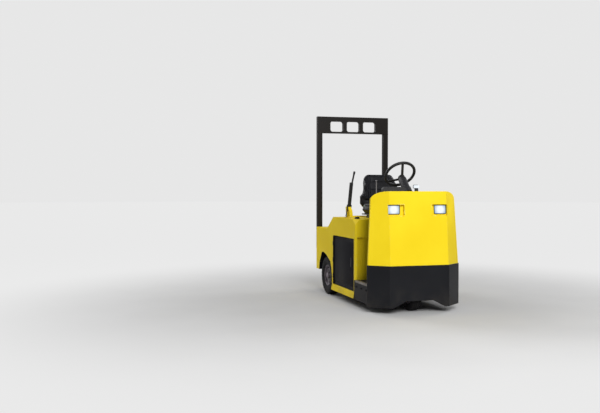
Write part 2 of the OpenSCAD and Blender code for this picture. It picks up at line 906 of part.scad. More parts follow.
module dash_rod() {
  color("lightgray") translate([dash_top_x + 34, -cowl_top_w / 2 + dash_taper + 18, dash_h]) {
    cylinder(r = 6, h = rod_len);
    cylinder(r = 16, h = 8);
    translate([0, 0, rod_len]) sphere(8);
  }
}

// A floor pedal: its sole leans on a stalk that stands on the mat
module pedal(y, w, h) {
  foot_x = tunnel_back_x + 70;
  color("#1c1c1e") {
    translate([foot_x, y, floor_h + 30]) rotate([0, -52, 0]) block([0, h], around(0, w / 2), [0, 9]);
    block([foot_x + 4, foot_x + 44], [y - 9, y + 9], [floor_h, floor_h + 40]);
  }
}

pedal_side = tunnel_half + wall + 50;

module brake_pedal() { pedal(-pedal_side, 64, 90); }

module drive_pedal() { pedal(-pedal_side - 92, 66, 170); }

battery_gap = 22;

module battery() {
  color("slategray") block(
    [tray_x + plate + battery_gap, tray_end_x - plate - battery_gap],
    [-side + 54, side - 54], [keel_h + plate, door_top - 20]
  );
}

door_x = rear_axle_x + door_start + door_gap;
door_end_x = rear_axle_x + door_start + door_len - door_gap;
door_low = door_bottom + door_gap;
door_high = door_top - door_gap;
door_hinge_x = door_x + barrel_r + 1;
door_hinge_y = side - 2 + seat_gap + barrel_r;

// Left door; the right one is its mirror image
module battery_door() {
  color("#25252b") {
    difference() {
      union() {
        translate([door_hinge_x, door_hinge_y, door_low]) {
          cylinder(r = barrel_r, h = door_high - door_low);
        }
        block([door_x, door_x + 30], [side - 2, door_hinge_y - 3], [door_low, door_high]);
      }
      for (z = knuckle_places(door_high - door_low)) {
        block(
          [door_x - 1, door_hinge_x + barrel_r + 1], [side - 2, side + 30],
          [door_low + z - seat_gap, door_low + z + knuckle_len + seat_gap]
        );
      }
    }
    difference() {
      block([door_x, door_end_x], [side - 2 - door_depth, side - 2], [door_low, door_high]);
      block(
        [door_x + door_sheet, door_end_x - door_sheet],
        [side - 3 - door_depth, side - 2 - door_sheet], [door_low + door_sheet, door_high - door_sheet]
      );
    }
  }
}

module seat_deck() {
  lid = [lid_x, lid_x + lid_len];
  color(yellow) {
    difference() {
      block(lid, around(0, lid_w / 2), [deck_h - lid_depth, deck_h]);
      block(
        lid + wall * [1, -1], around(0, lid_w / 2 - wall), [deck_h - lid_depth - 1, deck_h - wall]
      );
    }
    difference() {
      union() {
        block([lid_x, lid_x + 30], around(0, lid_hinge_len / 2), [deck_h, lid_hinge_h - 3]);
        translate([lid_x, lid_hinge_len / 2, lid_hinge_h]) rotate([90, 0, 0]) {
          cylinder(r = barrel_r, h = lid_hinge_len);
        }
      }
      for (y = knuckle_places(lid_hinge_len)) translate([0, y - lid_hinge_len / 2, 0]) {
        block(
          around(lid_x, barrel_r + 1), [-seat_gap, knuckle_len + seat_gap], [deck_h, deck_h + 30]
        );
      }
    }
  }
}

seat_x = rear_axle_x + seat_start;
cushion_low = deck_h + seat_base_h;

tray_low = cushion_low - tray_t;
tray_x0 = seat_x - 60;

module seat_base() {
  color("#2c2c30") {
    both_sides() block(
      [seat_x + 30, seat_x + 30 + slide_len], [slide_y, slide_y + slide_w], [deck_h, tray_low]
    );
    block([tray_x0, tray_x0 + tray_len], around(0, tray_w / 2), [tray_low, cushion_low]);
    both_sides() block(
      [tray_x0, tray_x0 + 50], [slide_y, slide_y + slide_w * 2 / 3], [cushion_low, cushion_low + strap_h]
    );
  }
}

module seat_cushion() {
  w = cushion_w / 2;
  color("#1d1d20") solid_over(with_mirror([
    [seat_x, w - 30, cushion_low], [seat_x, w, cushion_low + 40],
    [seat_x + cushion_len - 20, w - 30, cushion_low],
    [seat_x + cushion_len, w - 20, cushion_low + 40],
    [seat_x + cushion_len - 20, w, cushion_low + 40],
    [seat_x, w - 24, cushion_low + cushion_t],
    [seat_x + cushion_len - 40, w - 24, cushion_low + cushion_t],
    [seat_x + cushion_len - 10, w - 34, cushion_low + cushion_t - 30]
  ]));
}

// Backrest sections: height over its foot, distance of its side within the cushion's,
// distance of its front face behind the foot's, depth
BACKREST = [
  [0, 36, 0, 78], [40, 10, 2, 90], [122, 8, 8, 92], [166, 37, 14, 90],
  [206, 47, 22, 86], [282, 53, 38, 78], [332, 63, 52, 70], [360, 82, 60, 60]
];

// Corner points of a section, the front ones first
function backrest_section(row) = let (
  z = cushion_low + strap_h + row[0], half = cushion_w / 2 - row[1],
  front = seat_x - 1 - row[2], back = front - row[3]
) with_mirror([
  [front, half - 34, z], [front - 16, half - 4, z], [front - 34, half, z],
  [back + 12, half - 4, z], [back, half - 24, z]
]);

module seat_backrest() {
  foot_h = cushion_low + strap_h;
  top = deck_h + backrest_top;
  front = seat_x - 1;
  half = cushion_w / 2 - BACKREST[5][1];
  color("#1d1d20") {
    for (i = [0 : len(BACKREST) - 2]) {
      solid_over(concat(backrest_section(BACKREST[i]), backrest_section(BACKREST[i + 1])));
    }
    solid_over(concat(backrest_section(BACKREST[len(BACKREST) - 1]), with_mirror([
      [front - backrest_lean - 8, backrest_top_w / 2 - 44, top],
      [front - backrest_lean - backrest_t / 2, backrest_top_w / 2 - 44, top]
    ])));
    // Wings on both sides of the driver's back
    both_sides() solid_over([
      [front - 20, half - 52, foot_h + 76], [front - 20, half + 10, foot_h + 76],
      [front + 24, half - 22, foot_h + 96], [front + 18, half + 2, foot_h + 96],
      [front, half - 24, foot_h + 262], [front - 6, half - 4, foot_h + 262],
      [front - 56, half - 52, foot_h + 316], [front - 60, half - 10, foot_h + 316]
    ]);
  }
}

lever_x = rear_axle_x + lever_reach;
lever_pivot_h = deck_h + pivot_h;
lever_pin_r = 7;

// Yellow bracket of the lever: base plate and a toothed quadrant with its window
module lever_bracket() {
  foot = -pivot_h + wall / 2;
  color(yellow) {
    block([lever_x - 34, lever_x + 158], around(-lever_side, 30), [deck_h, deck_h + wall]);
    translate([lever_x, -lever_side, lever_pivot_h]) {
      across(-bracket_w / 2, bracket_w / 2) difference() {
        intersection() {
          circle(quadrant_r);
          polygon([[-20, foot], [quadrant_r, foot], [quadrant_r, quadrant_r], [-44, quadrant_r]]);
        }
        intersection() {
          circle(quadrant_r - 20);
          polygon([[22, -6], [quadrant_r, -6], [quadrant_r, quadrant_r], [2, quadrant_r]]);
        }
        for (turn = [24 : 5 : 84]) rotate(turn) translate([quadrant_r, 0]) rotate(45) {
          square(5, center = true);
        }
        circle(lever_pin_r + seat_gap);
      }
    }
  }
}

// Hand lever: a fork about the bracket, a flat sleeve and the release rod out of its top
module hand_lever() {
  blade_in = bracket_w / 2 + 1.2;
  blade_out = blade_in + 6;
  sleeve_top = fork_len + sleeve_len;
  color("#3a3a3e") translate([lever_x, -lever_side, lever_pivot_h]) {
    rotate([0, lever_lean, 0]) {
      both_sides() across(blade_in, blade_out) {
        circle(13);
        translate([-9, 0]) square([18, fork_len]);
      }
      across(-blade_out, blade_out) circle(lever_pin_r);
      block([-12, 12], around(0, blade_out), [fork_len - 4, fork_len + 10]);
      translate([0, 0, fork_len]) linear_extrude(sleeve_len) round_rect(24, sleeve_w, 6);
    }
    translate([sin(lever_lean), 0, cos(lever_lean)] * (sleeve_top - 14)) {
      translate([0, sleeve_w / 2 - 11, 0]) rotate([0, release_lean, 0]) {
        cylinder(r = 8.5, h = release_len);
        translate([0, 0, release_len - 12]) cylinder(r = 10.5, h = 26);
      }
    }
  }
}

module guard_frame() {
  half = guard_w / 2;
  color("#241f1c") along(tail_x - post_depth, tail_x) difference() {
    union() {
      for (y = [-half, half - post_w]) {
        translate([y, post_foot_h]) square([post_w, overall_h - post_foot_h]);
      }
      translate([-half, overall_h - beam_h]) square([guard_w, beam_h]);
    }
    for (y = [-1 : 1]) {
      translate([y * slot_pitch, overall_h - beam_h + slot_rise + slot_h / 2]) {
        round_rect(slot_w, slot_h, slot_r);
      }
    }
  }
}

jaw_x = hitch_x + jaw_w / 2;
jaw_top_h = jaw_h + 2 * jaw_pitch + jaw_t;

module tow_hitch() {
  color("#2a2a2c") difference() {
    union() {
      block([tail_x - 14, tail_x], [-90, 90], [jaw_h - 24, jaw_top_h + 24]);
      for (level = [0 : 2]) translate([0, 0, jaw_h + level * jaw_pitch]) {
        translate([jaw_x, 0, 0]) cylinder(d = jaw_w, h = jaw_t);
        block([jaw_x, tail_x - 10], around(0, jaw_w / 2), [0, jaw_t]);
      }
    }
    translate([jaw_x, 0, 0]) cylinder(r = pin_bore_r, h = deck_h);
  }
}

// Front view outline of a rear lamp, drawn in by a border
module rear_lamp_area(border) {
  translate([rear_lamp_side, rear_lamp_h]) {
    round_rect(rear_lamp_w - 2 * border, rear_lamp_w / 2 - 2 * border, 8);
  }
}

module rear_lamps() {
  color(black) both_sides() along(tail_x - 22, tail_x) rear_lamp_area(0);
}

module rear_lamp_lenses() {
  color("red") both_sides() along(tail_x - 34, tail_x - 22) rear_lamp_area(5);
}

axle_tube_r = 42;
// Radius of the axle's round casing
casing_r = 115;
hub_in = rear_face - rear_tyre_w + 6;

module rear_axle() {
  color("#2e2e30") translate([rear_axle_x, 0, rear_r]) {
    translate([0, hub_in - 12, 0]) rotate([90, 0, 0]) cylinder(r = axle_tube_r, h = 2 * hub_in - 24);
    translate([0, rear_face - 24, 0]) rotate([90, 0, 0]) {
      cylinder(r = spindle_r, h = 2 * rear_face - 48);
    }
    difference() {
      sphere(casing_r);
      translate([100, 0, 0]) rotate([0, 90, 0]) cylinder(r = casing_r + 10, h = casing_r);
    }
    both_sides() block(
      [-45, 45], around(rear_rail_pitch / 2, 24), [0, rear_rail_h - rear_r]
    );
  }
}

module drive_motor() {
  color("#4a4a4e") translate([rear_axle_x + 100, 0, rear_r]) rotate([0, 90, 0]) {
    cylinder(r = 88, h = tray_x - rear_axle_x - 108);
  }
}

// Half width of a tyre's bead
function bead_half(w) = 0.32 * w;

// Tyre section in its own plane: bead, bulging side walls, round shoulders, flat tread
module tyre_area(r_in, r_out, w) {
  shoulder = w / 4;
  translate([(r_in + r_out) / 2 + 6, 0]) round_rect(r_out - r_in - 12, w, shoulder);
  polygon([
    [r_in, -bead_half(w)], [r_in + 12 + shoulder, -w / 2 + 2],
    [r_in + 12 + shoulder, w / 2 - 2], [r_in, bead_half(w)]
  ]);
}

module tyre(r_in, r_out, w) {
  rotate([90, 0, 0]) rotate_extrude($fn = 72) tyre_area(r_in, r_out, w);
}

// Rolled rim section: flanges beside the tyre, bead seats, well; its sheet is 5 thick
module rim_area(r, w) {
  half = bead_half(w);
  outer = [
    [r + 7, half + 9], [r + 7, half + 4.2], [r, half + 0.5], [r, half - 12], [r - 12, half - 20]
  ];
  inner = [
    [r - 17, half - 18], [r - 5, half - 10], [r - 5, half], [r + 2, half + 5], [r + 2, half + 9]
  ];
  polygon(concat(
    outer, [for (i = [len(outer) - 1 : -1 : 0]) [outer[i][0], -outer[i][1]]],
    [for (i = [len(inner) - 1 : -1 : 0]) [inner[i][0], -inner[i][1]]], inner
  ));
}

// Wheel with its rim, dished disc and hub; the outer side faces +Y
module rim(r, w, bore, hub_from, hub_to) {
  seat_r = bore + 36;
  rotate([-90, 0, 0]) difference() {
    union() {
      rotate_extrude($fn = 72) {
        rim_area(r, w);
        // Disc: from the well out to its ridge, then in to the seat of the nuts
        polygon([
          [r - 16, 2], [r - 16, 10], [seat_r + 16, 29], [seat_r + 8, 29], [seat_r, 20], [bore + 4, 20],
          [bore + 4, 13], [seat_r + 4, 13], [seat_r + 12, 22]
        ]);
      }
      translate([0, 0, hub_from]) cylinder(r = bore + 14, h = hub_to - hub_from);
      translate([0, 0, hub_from]) cylinder(r = seat_r - 4, h = 13 - hub_from);
    }
    translate([0, 0, hub_from - 1]) cylinder(r = bore + running_gap, h = hub_to - hub_from - 7);
  }
}

rear_mid = rear_face - rear_tyre_w / 2;

module rear_tyre() {
  color("#1a1a1c") translate([rear_axle_x, rear_mid, rear_r]) {
    tyre(rear_rim_r, rear_r, rear_tyre_w);
  }
}

module rear_rim() {
  color("#8d8390") translate([rear_axle_x, rear_mid, rear_r]) {
    rim(rear_rim_r, rear_tyre_w, spindle_r, hub_in - rear_mid, rear_tyre_w / 2 - 8);
  }
}

// Steered fork: crown, blades, king pin and the front wheel's spindle
module steer_fork() {
  blade_in = front_tyre_w / 2 + fork_gap;
  outer = blade_in + fork_t;
  color("#2e2e30") translate([front_axle_x, 0, 0]) {
    block([-60, 60], [-outer, outer], [crown_h, crown_h + fork_t]);
    translate([0, 0, crown_h]) cylinder(r = king_pin_r, h = head_top_h + bearing_h + 8 - crown_h);
    both_sides() across(blade_in, outer) {
      polygon([[-34, front_d / 2], [-50, crown_h + 2], [50, crown_h + 2], [34, front_d / 2]]);
      translate([0, front_d / 2]) circle(34);
    }
    translate([0, outer, front_d / 2]) rotate([90, 0, 0]) cylinder(r = spindle_r, h = 2 * outer);
  }
}

module front_tyre() {
  color("#1a1a1c") translate([front_axle_x, 0, front_d / 2]) {
    tyre(front_rim_r, front_d / 2, front_tyre_w);
  }
}

module front_rim() {
  hub = front_tyre_w / 2 + 3;
  color("#8d8390") translate([front_axle_x, 0, front_d / 2]) rotate([90, 0, 0]) difference() {
    union() {
      rotate_extrude($fn = 72) rim_area(front_rim_r, front_tyre_w);
      translate([0, 0, -5]) cylinder(r = front_rim_r - 15, h = 10);
      translate([0, 0, -hub]) cylinder(r = spindle_r + 18, h = 2 * hub);
    }
    translate([0, 0, -2 * hub]) cylinder(r = spindle_r + running_gap, h = 4 * hub);
  }
}

chassis();
sills();
step_trims();
floor_mat();
wheel_tunnel();
front_bumper();
cowl();
mirror([0, 1, 0]) headlamp();  // headlamp_right
headlamp();  // headlamp_left
mirror([0, 1, 0]) headlamp_lens();  // headlamp_lens_right
headlamp_lens();  // headlamp_lens_left
marker_foot();
marker_lens();
dash_panel();
pedestal();
dash_rod();
steering_column();
steering_wheel();
brake_pedal();
drive_pedal();
rear_body();
footwell_panel();
arch_liners();
battery();
mirror([0, 1, 0]) battery_door();  // battery_door_right
battery_door();  // battery_door_left
seat_deck();
seat_base();
seat_cushion();
seat_backrest();
lever_bracket();
hand_lever();
guard_frame();
tow_hitch();
rear_lamps();
rear_lamp_lenses();
rear_axle();
drive_motor();
mirror([0, 1, 0]) rear_tyre();  // rear_tyre_right
mirror([0, 1, 0]) rear_rim();  // rear_rim_right
rear_tyre();  // rear_tyre_left
rear_rim();  // rear_rim_left
steer_fork();
front_tyre();
front_rim();
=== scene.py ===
"""Electric three-wheel tow tractor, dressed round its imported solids."""
import json
import math

import bmesh
import bpy
from mathutils import Matrix, Vector


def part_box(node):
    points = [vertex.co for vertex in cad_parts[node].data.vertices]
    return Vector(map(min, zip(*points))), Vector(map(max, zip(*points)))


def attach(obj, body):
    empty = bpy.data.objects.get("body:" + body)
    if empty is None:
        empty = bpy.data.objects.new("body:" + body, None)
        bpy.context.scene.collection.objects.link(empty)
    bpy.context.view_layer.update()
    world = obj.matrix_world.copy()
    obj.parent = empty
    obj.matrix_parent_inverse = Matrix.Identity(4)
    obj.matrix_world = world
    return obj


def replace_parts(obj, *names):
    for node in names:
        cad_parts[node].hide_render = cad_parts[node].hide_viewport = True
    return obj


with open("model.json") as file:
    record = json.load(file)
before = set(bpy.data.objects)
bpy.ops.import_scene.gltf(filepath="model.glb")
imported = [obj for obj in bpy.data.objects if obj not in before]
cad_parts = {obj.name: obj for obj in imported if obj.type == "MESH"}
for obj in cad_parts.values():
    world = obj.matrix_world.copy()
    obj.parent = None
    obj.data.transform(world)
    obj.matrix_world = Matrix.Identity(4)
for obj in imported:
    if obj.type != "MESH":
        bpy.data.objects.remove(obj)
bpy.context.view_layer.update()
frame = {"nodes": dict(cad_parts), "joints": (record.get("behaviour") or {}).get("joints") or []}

# Camera. It stands to the right of the tractor's nose at chest height, as the photograph's
# does, and keeps the tractor in the right half of a 600 by 413 picture.
PICTURE_WIDTH = 600
FOCUS_PX = 750.0
EYE = Vector((7.42543, -2.93009, 1.16587))
YAW = 0.26842
PITCH = 0.023702

look = Vector((-math.cos(YAW) * math.cos(PITCH), math.sin(YAW) * math.cos(PITCH), -math.sin(PITCH)))
camera = bpy.data.objects.new("camera", bpy.data.cameras.new("camera"))
camera.data.sensor_width = 36.0
camera.data.lens = camera.data.sensor_width * FOCUS_PX / PICTURE_WIDTH
camera.data.clip_end = 200.0
camera.location = EYE
camera.rotation_mode = "QUATERNION"
camera.rotation_quaternion = look.to_track_quat("-Z", "Y")
bpy.context.scene.collection.objects.link(camera)
bpy.context.scene.camera = camera
bpy.context.scene.view_settings.view_transform = "Standard"


# Studio lamps: three soft boxes. The strongest stands high beside the camera; two weaker
# ones light the left side and the rear, so that no side of the tractor is black.
LAMPS_FACE = Vector((0, 0, 0.8))


def soft_lamp(name, place, size, power):
    """A square soft box that faces the tractor's middle."""
    lamp = bpy.data.objects.new(name, bpy.data.lights.new(name, "AREA"))
    lamp.data.size = size
    lamp.data.energy = power
    lamp.location = place
    lamp.rotation_mode = "QUATERNION"
    lamp.rotation_quaternion = (LAMPS_FACE - Vector(place)).to_track_quat("-Z", "Y")
    bpy.context.scene.collection.objects.link(lamp)


soft_lamp("front_lamp", (6.9, -0.6, 4.2), 3.2, 430.0)
soft_lamp("left_lamp", (-1.5, 5.5, 4.0), 3.0, 115.0)
soft_lamp("rear_lamp", (-5.5, -3.5, 4.5), 3.0, 220.0)


# Floor and backdrop: seamless pale paper rolled out under the tractor. Near the tractor it
# takes its shadow; further off it passes into the even pale backdrop.
class Wire:
    """A socket in a finish; sums, differences and products of wires add their Math nodes."""

    def __init__(self, tree, socket):
        self.tree = tree
        self.socket = socket

    def node(self, kind, settings, sockets, out=0):
        """Adds a node: its settings first, then the values or wires of its sockets."""
        made = self.tree.nodes.new("ShaderNode" + kind)
        for key, value in settings.items():
            setattr(made, key, value)
        for key, value in sockets.items():
            if isinstance(value, Wire):
                self.tree.links.new(value.socket, made.inputs[key])
            else:
                made.inputs[key].default_value = value
        return Wire(self.tree, made.outputs[out])

    def maths(self, operation, *others):
        """A Math node on this wire and on others."""
        return self.node("Math", {"operation": operation}, dict(enumerate((self, *others))))

    def __add__(self, other):
        return self.maths("ADD", other)

    def __sub__(self, other):
        return self.maths("SUBTRACT", other)

    def __rsub__(self, other):
        return self.maths("MULTIPLY_ADD", -1.0, other)

    def __mul__(self, other):
        return self.maths("MULTIPLY", other)

    def __abs__(self):
        return self.maths("ABSOLUTE")

    __radd__ = __add__
    __rmul__ = __mul__

    def grain(self, scale, detail=3.0, stretch=(1.0, 1.0, 1.0)):
        """Soft noise from 0 to 1 at these coordinates."""
        spread = self.node("Mapping", {}, {"Vector": self, "Scale": stretch})
        return self.node("TexNoise", {}, {"Vector": spread, "Scale": scale, "Detail": detail})

    def pebbles(self, scale):
        """Distance to the nearest of scattered points, as in the grain of leather."""
        return self.node("TexVoronoi", {"feature": "F1"}, {"Vector": self, "Scale": scale})

    def rise(self, low, high):
        """0 below low, 1 above high, smooth in between; the other way round if low is higher."""
        limits = {"Value": self, "From Min": low, "From Max": high}
        return self.node("MapRange", {"interpolation_type": "SMOOTHSTEP"}, limits)

    def tint(self, below, above):
        """A colour that goes from below to above as this wire goes from 0 to 1."""
        below, above = [end if isinstance(end, Wire) else (*end, 1.0) for end in (below, above)]
        return self.node("Mix", {"data_type": "RGBA"}, {0: self, 6: below, 7: above}, 2)

    def split(self):
        """The three parts of this vector."""
        return [self.node("SeparateXYZ", {}, {"Vector": self}, axis) for axis in range(3)]

    def edges(self, width):
        """1 along the piece's edges, 0 on its flats."""
        rounded = self.node("Bevel", {"samples": 4}, {"Radius": width})
        flat = self.node("NewGeometry", {}, {}, "Normal")
        bent = self.node("VectorMath", {"operation": "DOT_PRODUCT"}, {0: rounded, 1: flat}, "Value")
        return bent.rise(0.995, 0.90)

    def relief(self, depth):
        """A surface normal with this wire as its height, depth metres from 0 to 1."""
        return self.node("Bump", {}, {"Height": self, "Distance": depth})


def start_finish(name, constants):
    """A material with these values on its shader; gives it, its shader and its coordinates."""
    material = bpy.data.materials.new(name)
    material.use_nodes = True
    tree = material.node_tree
    shader = tree.nodes["Principled BSDF"]
    for key, value in constants.items():
        shader.inputs[key].default_value = value
    return material, shader, Wire(tree, tree.nodes.new("ShaderNodeTexCoord").outputs["Object"])


def feed(shader, wires):
    """Leads wires to the shader's sockets."""
    for key, wire in wires.items():
        wire.tree.links.new(wire.socket, shader.inputs[key])


# Brightness of the backdrop, of the light from all round, and what mirrors see on top of it
BACKDROP = 0.80
AMBIENT = 0.26
MIRROR_EXTRA = 0.14
FLOOR_RADIUS = 60.0
SHADOW_FADES = (1.4, 4.6)

paper, shader, place = start_finish("floor_paper", {
    "Roughness": 0.9, "Specular IOR Level": 0.1, "Emission Strength": 1.0,
})
reach = place.node("VectorMath", {"operation": "LENGTH"}, {0: place}, "Value")
seen = place.node("LightPath", {}, {}, "Is Camera Ray")
far = reach.rise(*SHADOW_FADES) * seen
tone = place.grain(1.3, 2.0).rise(0.2, 0.8).tint((0.60, 0.60, 0.60), (0.63, 0.63, 0.63))
feed(shader, {
    "Base Color": far.tint(tone, (0, 0, 0)),
    "Emission Color": far.tint((0, 0, 0), (BACKDROP, BACKDROP, BACKDROP)),
})
floor_shape = bmesh.new()
bmesh.ops.create_circle(floor_shape, cap_ends=True, segments=96, radius=FLOOR_RADIUS)
floor_mesh = bpy.data.meshes.new("floor")
floor_shape.to_mesh(floor_mesh)
floor_shape.free()
floor_mesh.materials.append(paper)
floor = bpy.data.objects.new("floor", floor_mesh)
bpy.context.scene.collection.objects.link(floor)

world = bpy.data.worlds.new("studio")
bpy.context.scene.world = world
world.use_nodes = True
sky = Wire(world.node_tree, world.node_tree.nodes["Background"].outputs[0])
direct, through, mirrored = [
    sky.node("LightPath", {}, {}, "Is " + kind + " Ray") for kind in ("Camera", "Transmission", "Glossy")
]
strength = AMBIENT + (direct + through).rise(0.0, 1.0) * (BACKDROP - AMBIENT) + mirrored * MIRROR_EXTRA
feed(world.node_tree.nodes["Background"], {"Strength": strength})
world.node_tree.nodes["Background"].inputs["Color"].default_value = (1.0, 1.0, 1.0, 1.0)


# Chassis: a welded frame of folded plate with rails, skirts and the battery's tray. It is
# powder-coated black after welding; the steering head's tunnel and the wheel arches' inner
# skins get the same coat, and all of them collect road dust low down.
SHARP_FROM = math.radians(35.0)


def soften(node, width):
    """Breaks the sharp edges of a CAD node, as folded or cast metal has them."""
    piece = frame["nodes"][node]
    weld = piece.modifiers.new("weld", "WELD")
    weld.merge_threshold = 1e-5
    flat = piece.modifiers.new("flat", "DECIMATE")
    flat.decimate_type = "DISSOLVE"
    flat.angle_limit = math.radians(0.3)
    edge = piece.modifiers.new("edge", "BEVEL")
    edge.width = width
    edge.segments = 3
    edge.limit_method = "ANGLE"
    edge.angle_limit = SHARP_FROM
    edge.harden_normals = True


def dress(nodes, finish, width):
    """Gives CAD nodes a finish and soft edges."""
    for node in nodes:
        for slot in frame["nodes"][node].material_slots:
            slot.material = finish
        soften(node, width)


def coat(name, deep, pale, rubbed, gloss, dust, peel=0.0, bend=0.003):
    """Sprayed paint: drifting tone, orange peel, paler rubbed edges (on some coats partly a painted
    highlight), a film of road dust low down.
    """
    material, shader, place = start_finish(name, {"Specular IOR Level": gloss})
    drift = place.grain(2.2, 4.0).rise(0.25, 0.75)
    specks = place.grain(70.0, 4.0)
    # The edge mask paints the rubbed colour along bends: rubbed paint, and on the yellow and guard enamels
    # partly a painted highlight.
    worn = place.edges(bend) * place.grain(26.0, 5.0).rise(0.46, 0.66)
    film = place.split()[2].rise(0.42, 0.02) * place.grain(7.0, 6.0).rise(0.30, 0.80) * dust
    feed(shader, {
        "Base Color": film.tint(worn.tint(drift.tint(deep, pale), rubbed), (0.16, 0.135, 0.10)),
        "Roughness": 0.36 + peel * 0.16 + specks * 0.12 + film * 0.35 - worn * 0.08,
        "Normal": (place.grain(240.0, 2.0) + specks * 1.5).relief(0.00012 * (1 + peel)),
    })
    return material


black_coat = coat(
    "black_coat", (0.0046, 0.0044, 0.0066), (0.0080, 0.0077, 0.0106), (0.04, 0.04, 0.04),
    gloss=0.08, dust=0.10,
)
dress(["chassis", "wheel_tunnel", "arch_liners"], black_coat, 0.002)


# Skirt bolts: hexagon bolts on pressed washers that clamp the skirts to the floor's webs on
# both sides of the footwell. They are painted over with the chassis.
def aim(place, direction):
    """The stand of a piece whose foot is on a point and whose +Z points in a direction."""
    return Matrix.Translation(place) @ Vector(direction).to_track_quat("Z", "Y").to_matrix().to_4x4()


def fresh(shape, old):
    """The points that a shape has gained."""
    return [v for v in shape.verts if v not in old]


def add_lathe(shape, outline, stand, steps, closed=False):
    """Turns an outline of (radius, height) points about its own +Z and puts it on its stand."""
    old = set(shape.verts)
    points = [shape.verts.new((radius, 0.0, height)) for radius, height in outline]
    pairs = list(zip(points, points[1:])) + ([(points[-1], points[0])] if closed else [])
    edges = [shape.edges.new(pair) for pair in pairs]
    bmesh.ops.spin(
        shape, geom=points + edges, cent=(0, 0, 0), axis=(0, 0, 1), dvec=(0, 0, 0),
        angle=math.tau, steps=steps, use_merge=True, use_duplicate=False,
    )
    bmesh.ops.remove_doubles(shape, verts=fresh(shape, old), dist=1e-6)
    bmesh.ops.transform(shape, matrix=stand, verts=fresh(shape, old))


def round_edges(shape, verts, width):
    """Rounds all the edges between these points."""
    chosen = set(verts)
    edges = list({e for v in verts for e in v.link_edges if e.other_vert(v) in chosen})
    bmesh.ops.bevel(
        shape, geom=edges, offset=width, offset_type="OFFSET", affect="EDGES",
        segments=2, profile=0.5, material=-1, clamp_overlap=True,
    )


def add_bolt(shape, place, direction, across=0.013, head=0.006):
    """A hexagon head on its washer, standing on a face."""
    stand = aim(place, direction)
    washer = across * 0.9
    add_lathe(shape, [(0, -0.002), (washer, -0.002), (washer, 0.0014), (0, 0.0014)], stand, 20)
    hexagon = bmesh.ops.create_cone(
        shape, cap_ends=True, segments=6, radius1=across * 0.577, radius2=across * 0.577,
        depth=head, matrix=stand @ Matrix.Translation((0, 0, 0.0014 + head / 2)),
    )
    round_edges(shape, hexagon["verts"], across * 0.05)


def finish_piece(name, shape, finish, body, sharp=35.0):
    """Closes a shape, makes it a piece at the origin and hangs it on its body."""
    bmesh.ops.remove_doubles(shape, verts=shape.verts, dist=1e-6)
    bmesh.ops.recalc_face_normals(shape, faces=shape.faces)
    mesh = bpy.data.meshes.new(name)
    shape.to_mesh(mesh)
    shape.free()
    mesh.materials.append(finish)
    mesh.shade_smooth()
    mesh.set_sharp_from_angle(angle=math.radians(sharp))
    piece = bpy.data.objects.new(name, mesh)
    bpy.context.scene.collection.objects.link(piece)
    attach(piece, body)
    return piece


SKIRT_BOLT_H = 0.205
skirt_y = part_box("chassis")[1].y
bolts = bmesh.new()
for side in (-1, 1):
    for x in (0.50, 0.64, 0.78):
        add_bolt(bolts, (x, side * skirt_y, SKIRT_BOLT_H), (0, side, 0))
finish_piece("skirt_bolts", bolts, black_coat, "vehicle")


# Rear axle: a cast casing with the final drive, its tubes and the drive motor in front of
# it. The casing is closed behind by a pressed cover with a ring of bolts.
def metal(name, deep, pale, rough, grime, brushed=(1.0, 1.0, 1.0)):
    """Bare or plated metal: brush or casting marks, stains, and grime in patches."""
    material, shader, place = start_finish(name, {})
    marks = place.grain(180.0, 3.0, brushed)
    stains = place.grain(14.0, 5.0).rise(0.35, 0.75)
    dirt = place.grain(5.0, 6.0).rise(0.35, 0.65) * grime
    feed(shader, {
        "Base Color": dirt.tint((marks * 0.5 + stains * 0.5).tint(deep, pale), (0.035, 0.028, 0.02)),
        "Metallic": 1.0 - dirt * 0.9,
        "Roughness": rough + marks * 0.12 + stains * 0.08 + dirt * 0.3,
        "Normal": marks.relief(0.0001),
    })
    return material


axle_steel = metal("oily_axle_steel", (0.05, 0.05, 0.052), (0.10, 0.10, 0.10), rough=0.48, grime=0.85)
zinc = metal("zinc_plate", (0.34, 0.34, 0.33), (0.52, 0.52, 0.50), rough=0.30, grime=0.35)
dress(["rear_axle", "drive_motor"], axle_steel, 0.003)

joints = {row["name"]: row for row in frame["joints"]}
axle_x, wheel_y, axle_z = joints["rear_left_roll"]["pos_m"]

COVER_BOLTS = 10
COVER_RING = 0.078
COVER_FACE = 0.105
cover = bmesh.new()
back = aim((axle_x, 0, axle_z), (-1, 0, 0))
add_lathe(cover, [
    (0, 0.124), (0.028, 0.123), (0.052, 0.117), (0.064, 0.108), (0.068, COVER_FACE),
    (0.088, COVER_FACE), (0.090, 0.103), (0.090, 0.060), (0, 0.060),
], back, 64)
for spot in range(COVER_BOLTS):
    turn = math.tau * spot / COVER_BOLTS
    foot = back @ Vector((COVER_RING * math.cos(turn), COVER_RING * math.sin(turn), COVER_FACE))
    add_bolt(cover, foot, (-1, 0, 0), across=0.010, head=0.005)
oil_plug = back @ Vector((0, -0.040, 0.119))
add_bolt(cover, oil_plug, (-1, 0, 0), across=0.014, head=0.007)
finish_piece("axle_cover", cover, axle_steel, "vehicle")

BAND_W = 0.024
BAND_INSET = (0.004, 0.006)
low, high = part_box("drive_motor")
motor = aim((low.x, 0, axle_z), (1, 0, 0))
bands = bmesh.new()
for start in (BAND_INSET[0], high.x - low.x - BAND_INSET[1] - BAND_W):
    end = start + BAND_W
    add_lathe(bands, [
        (0.086, start), (0.0900, start), (0.0912, start + 0.002), (0.0912, end - 0.002),
        (0.0900, end), (0.086, end),
    ], motor, 64, closed=True)
finish_piece("motor_bands", bands, axle_steel, "vehicle")


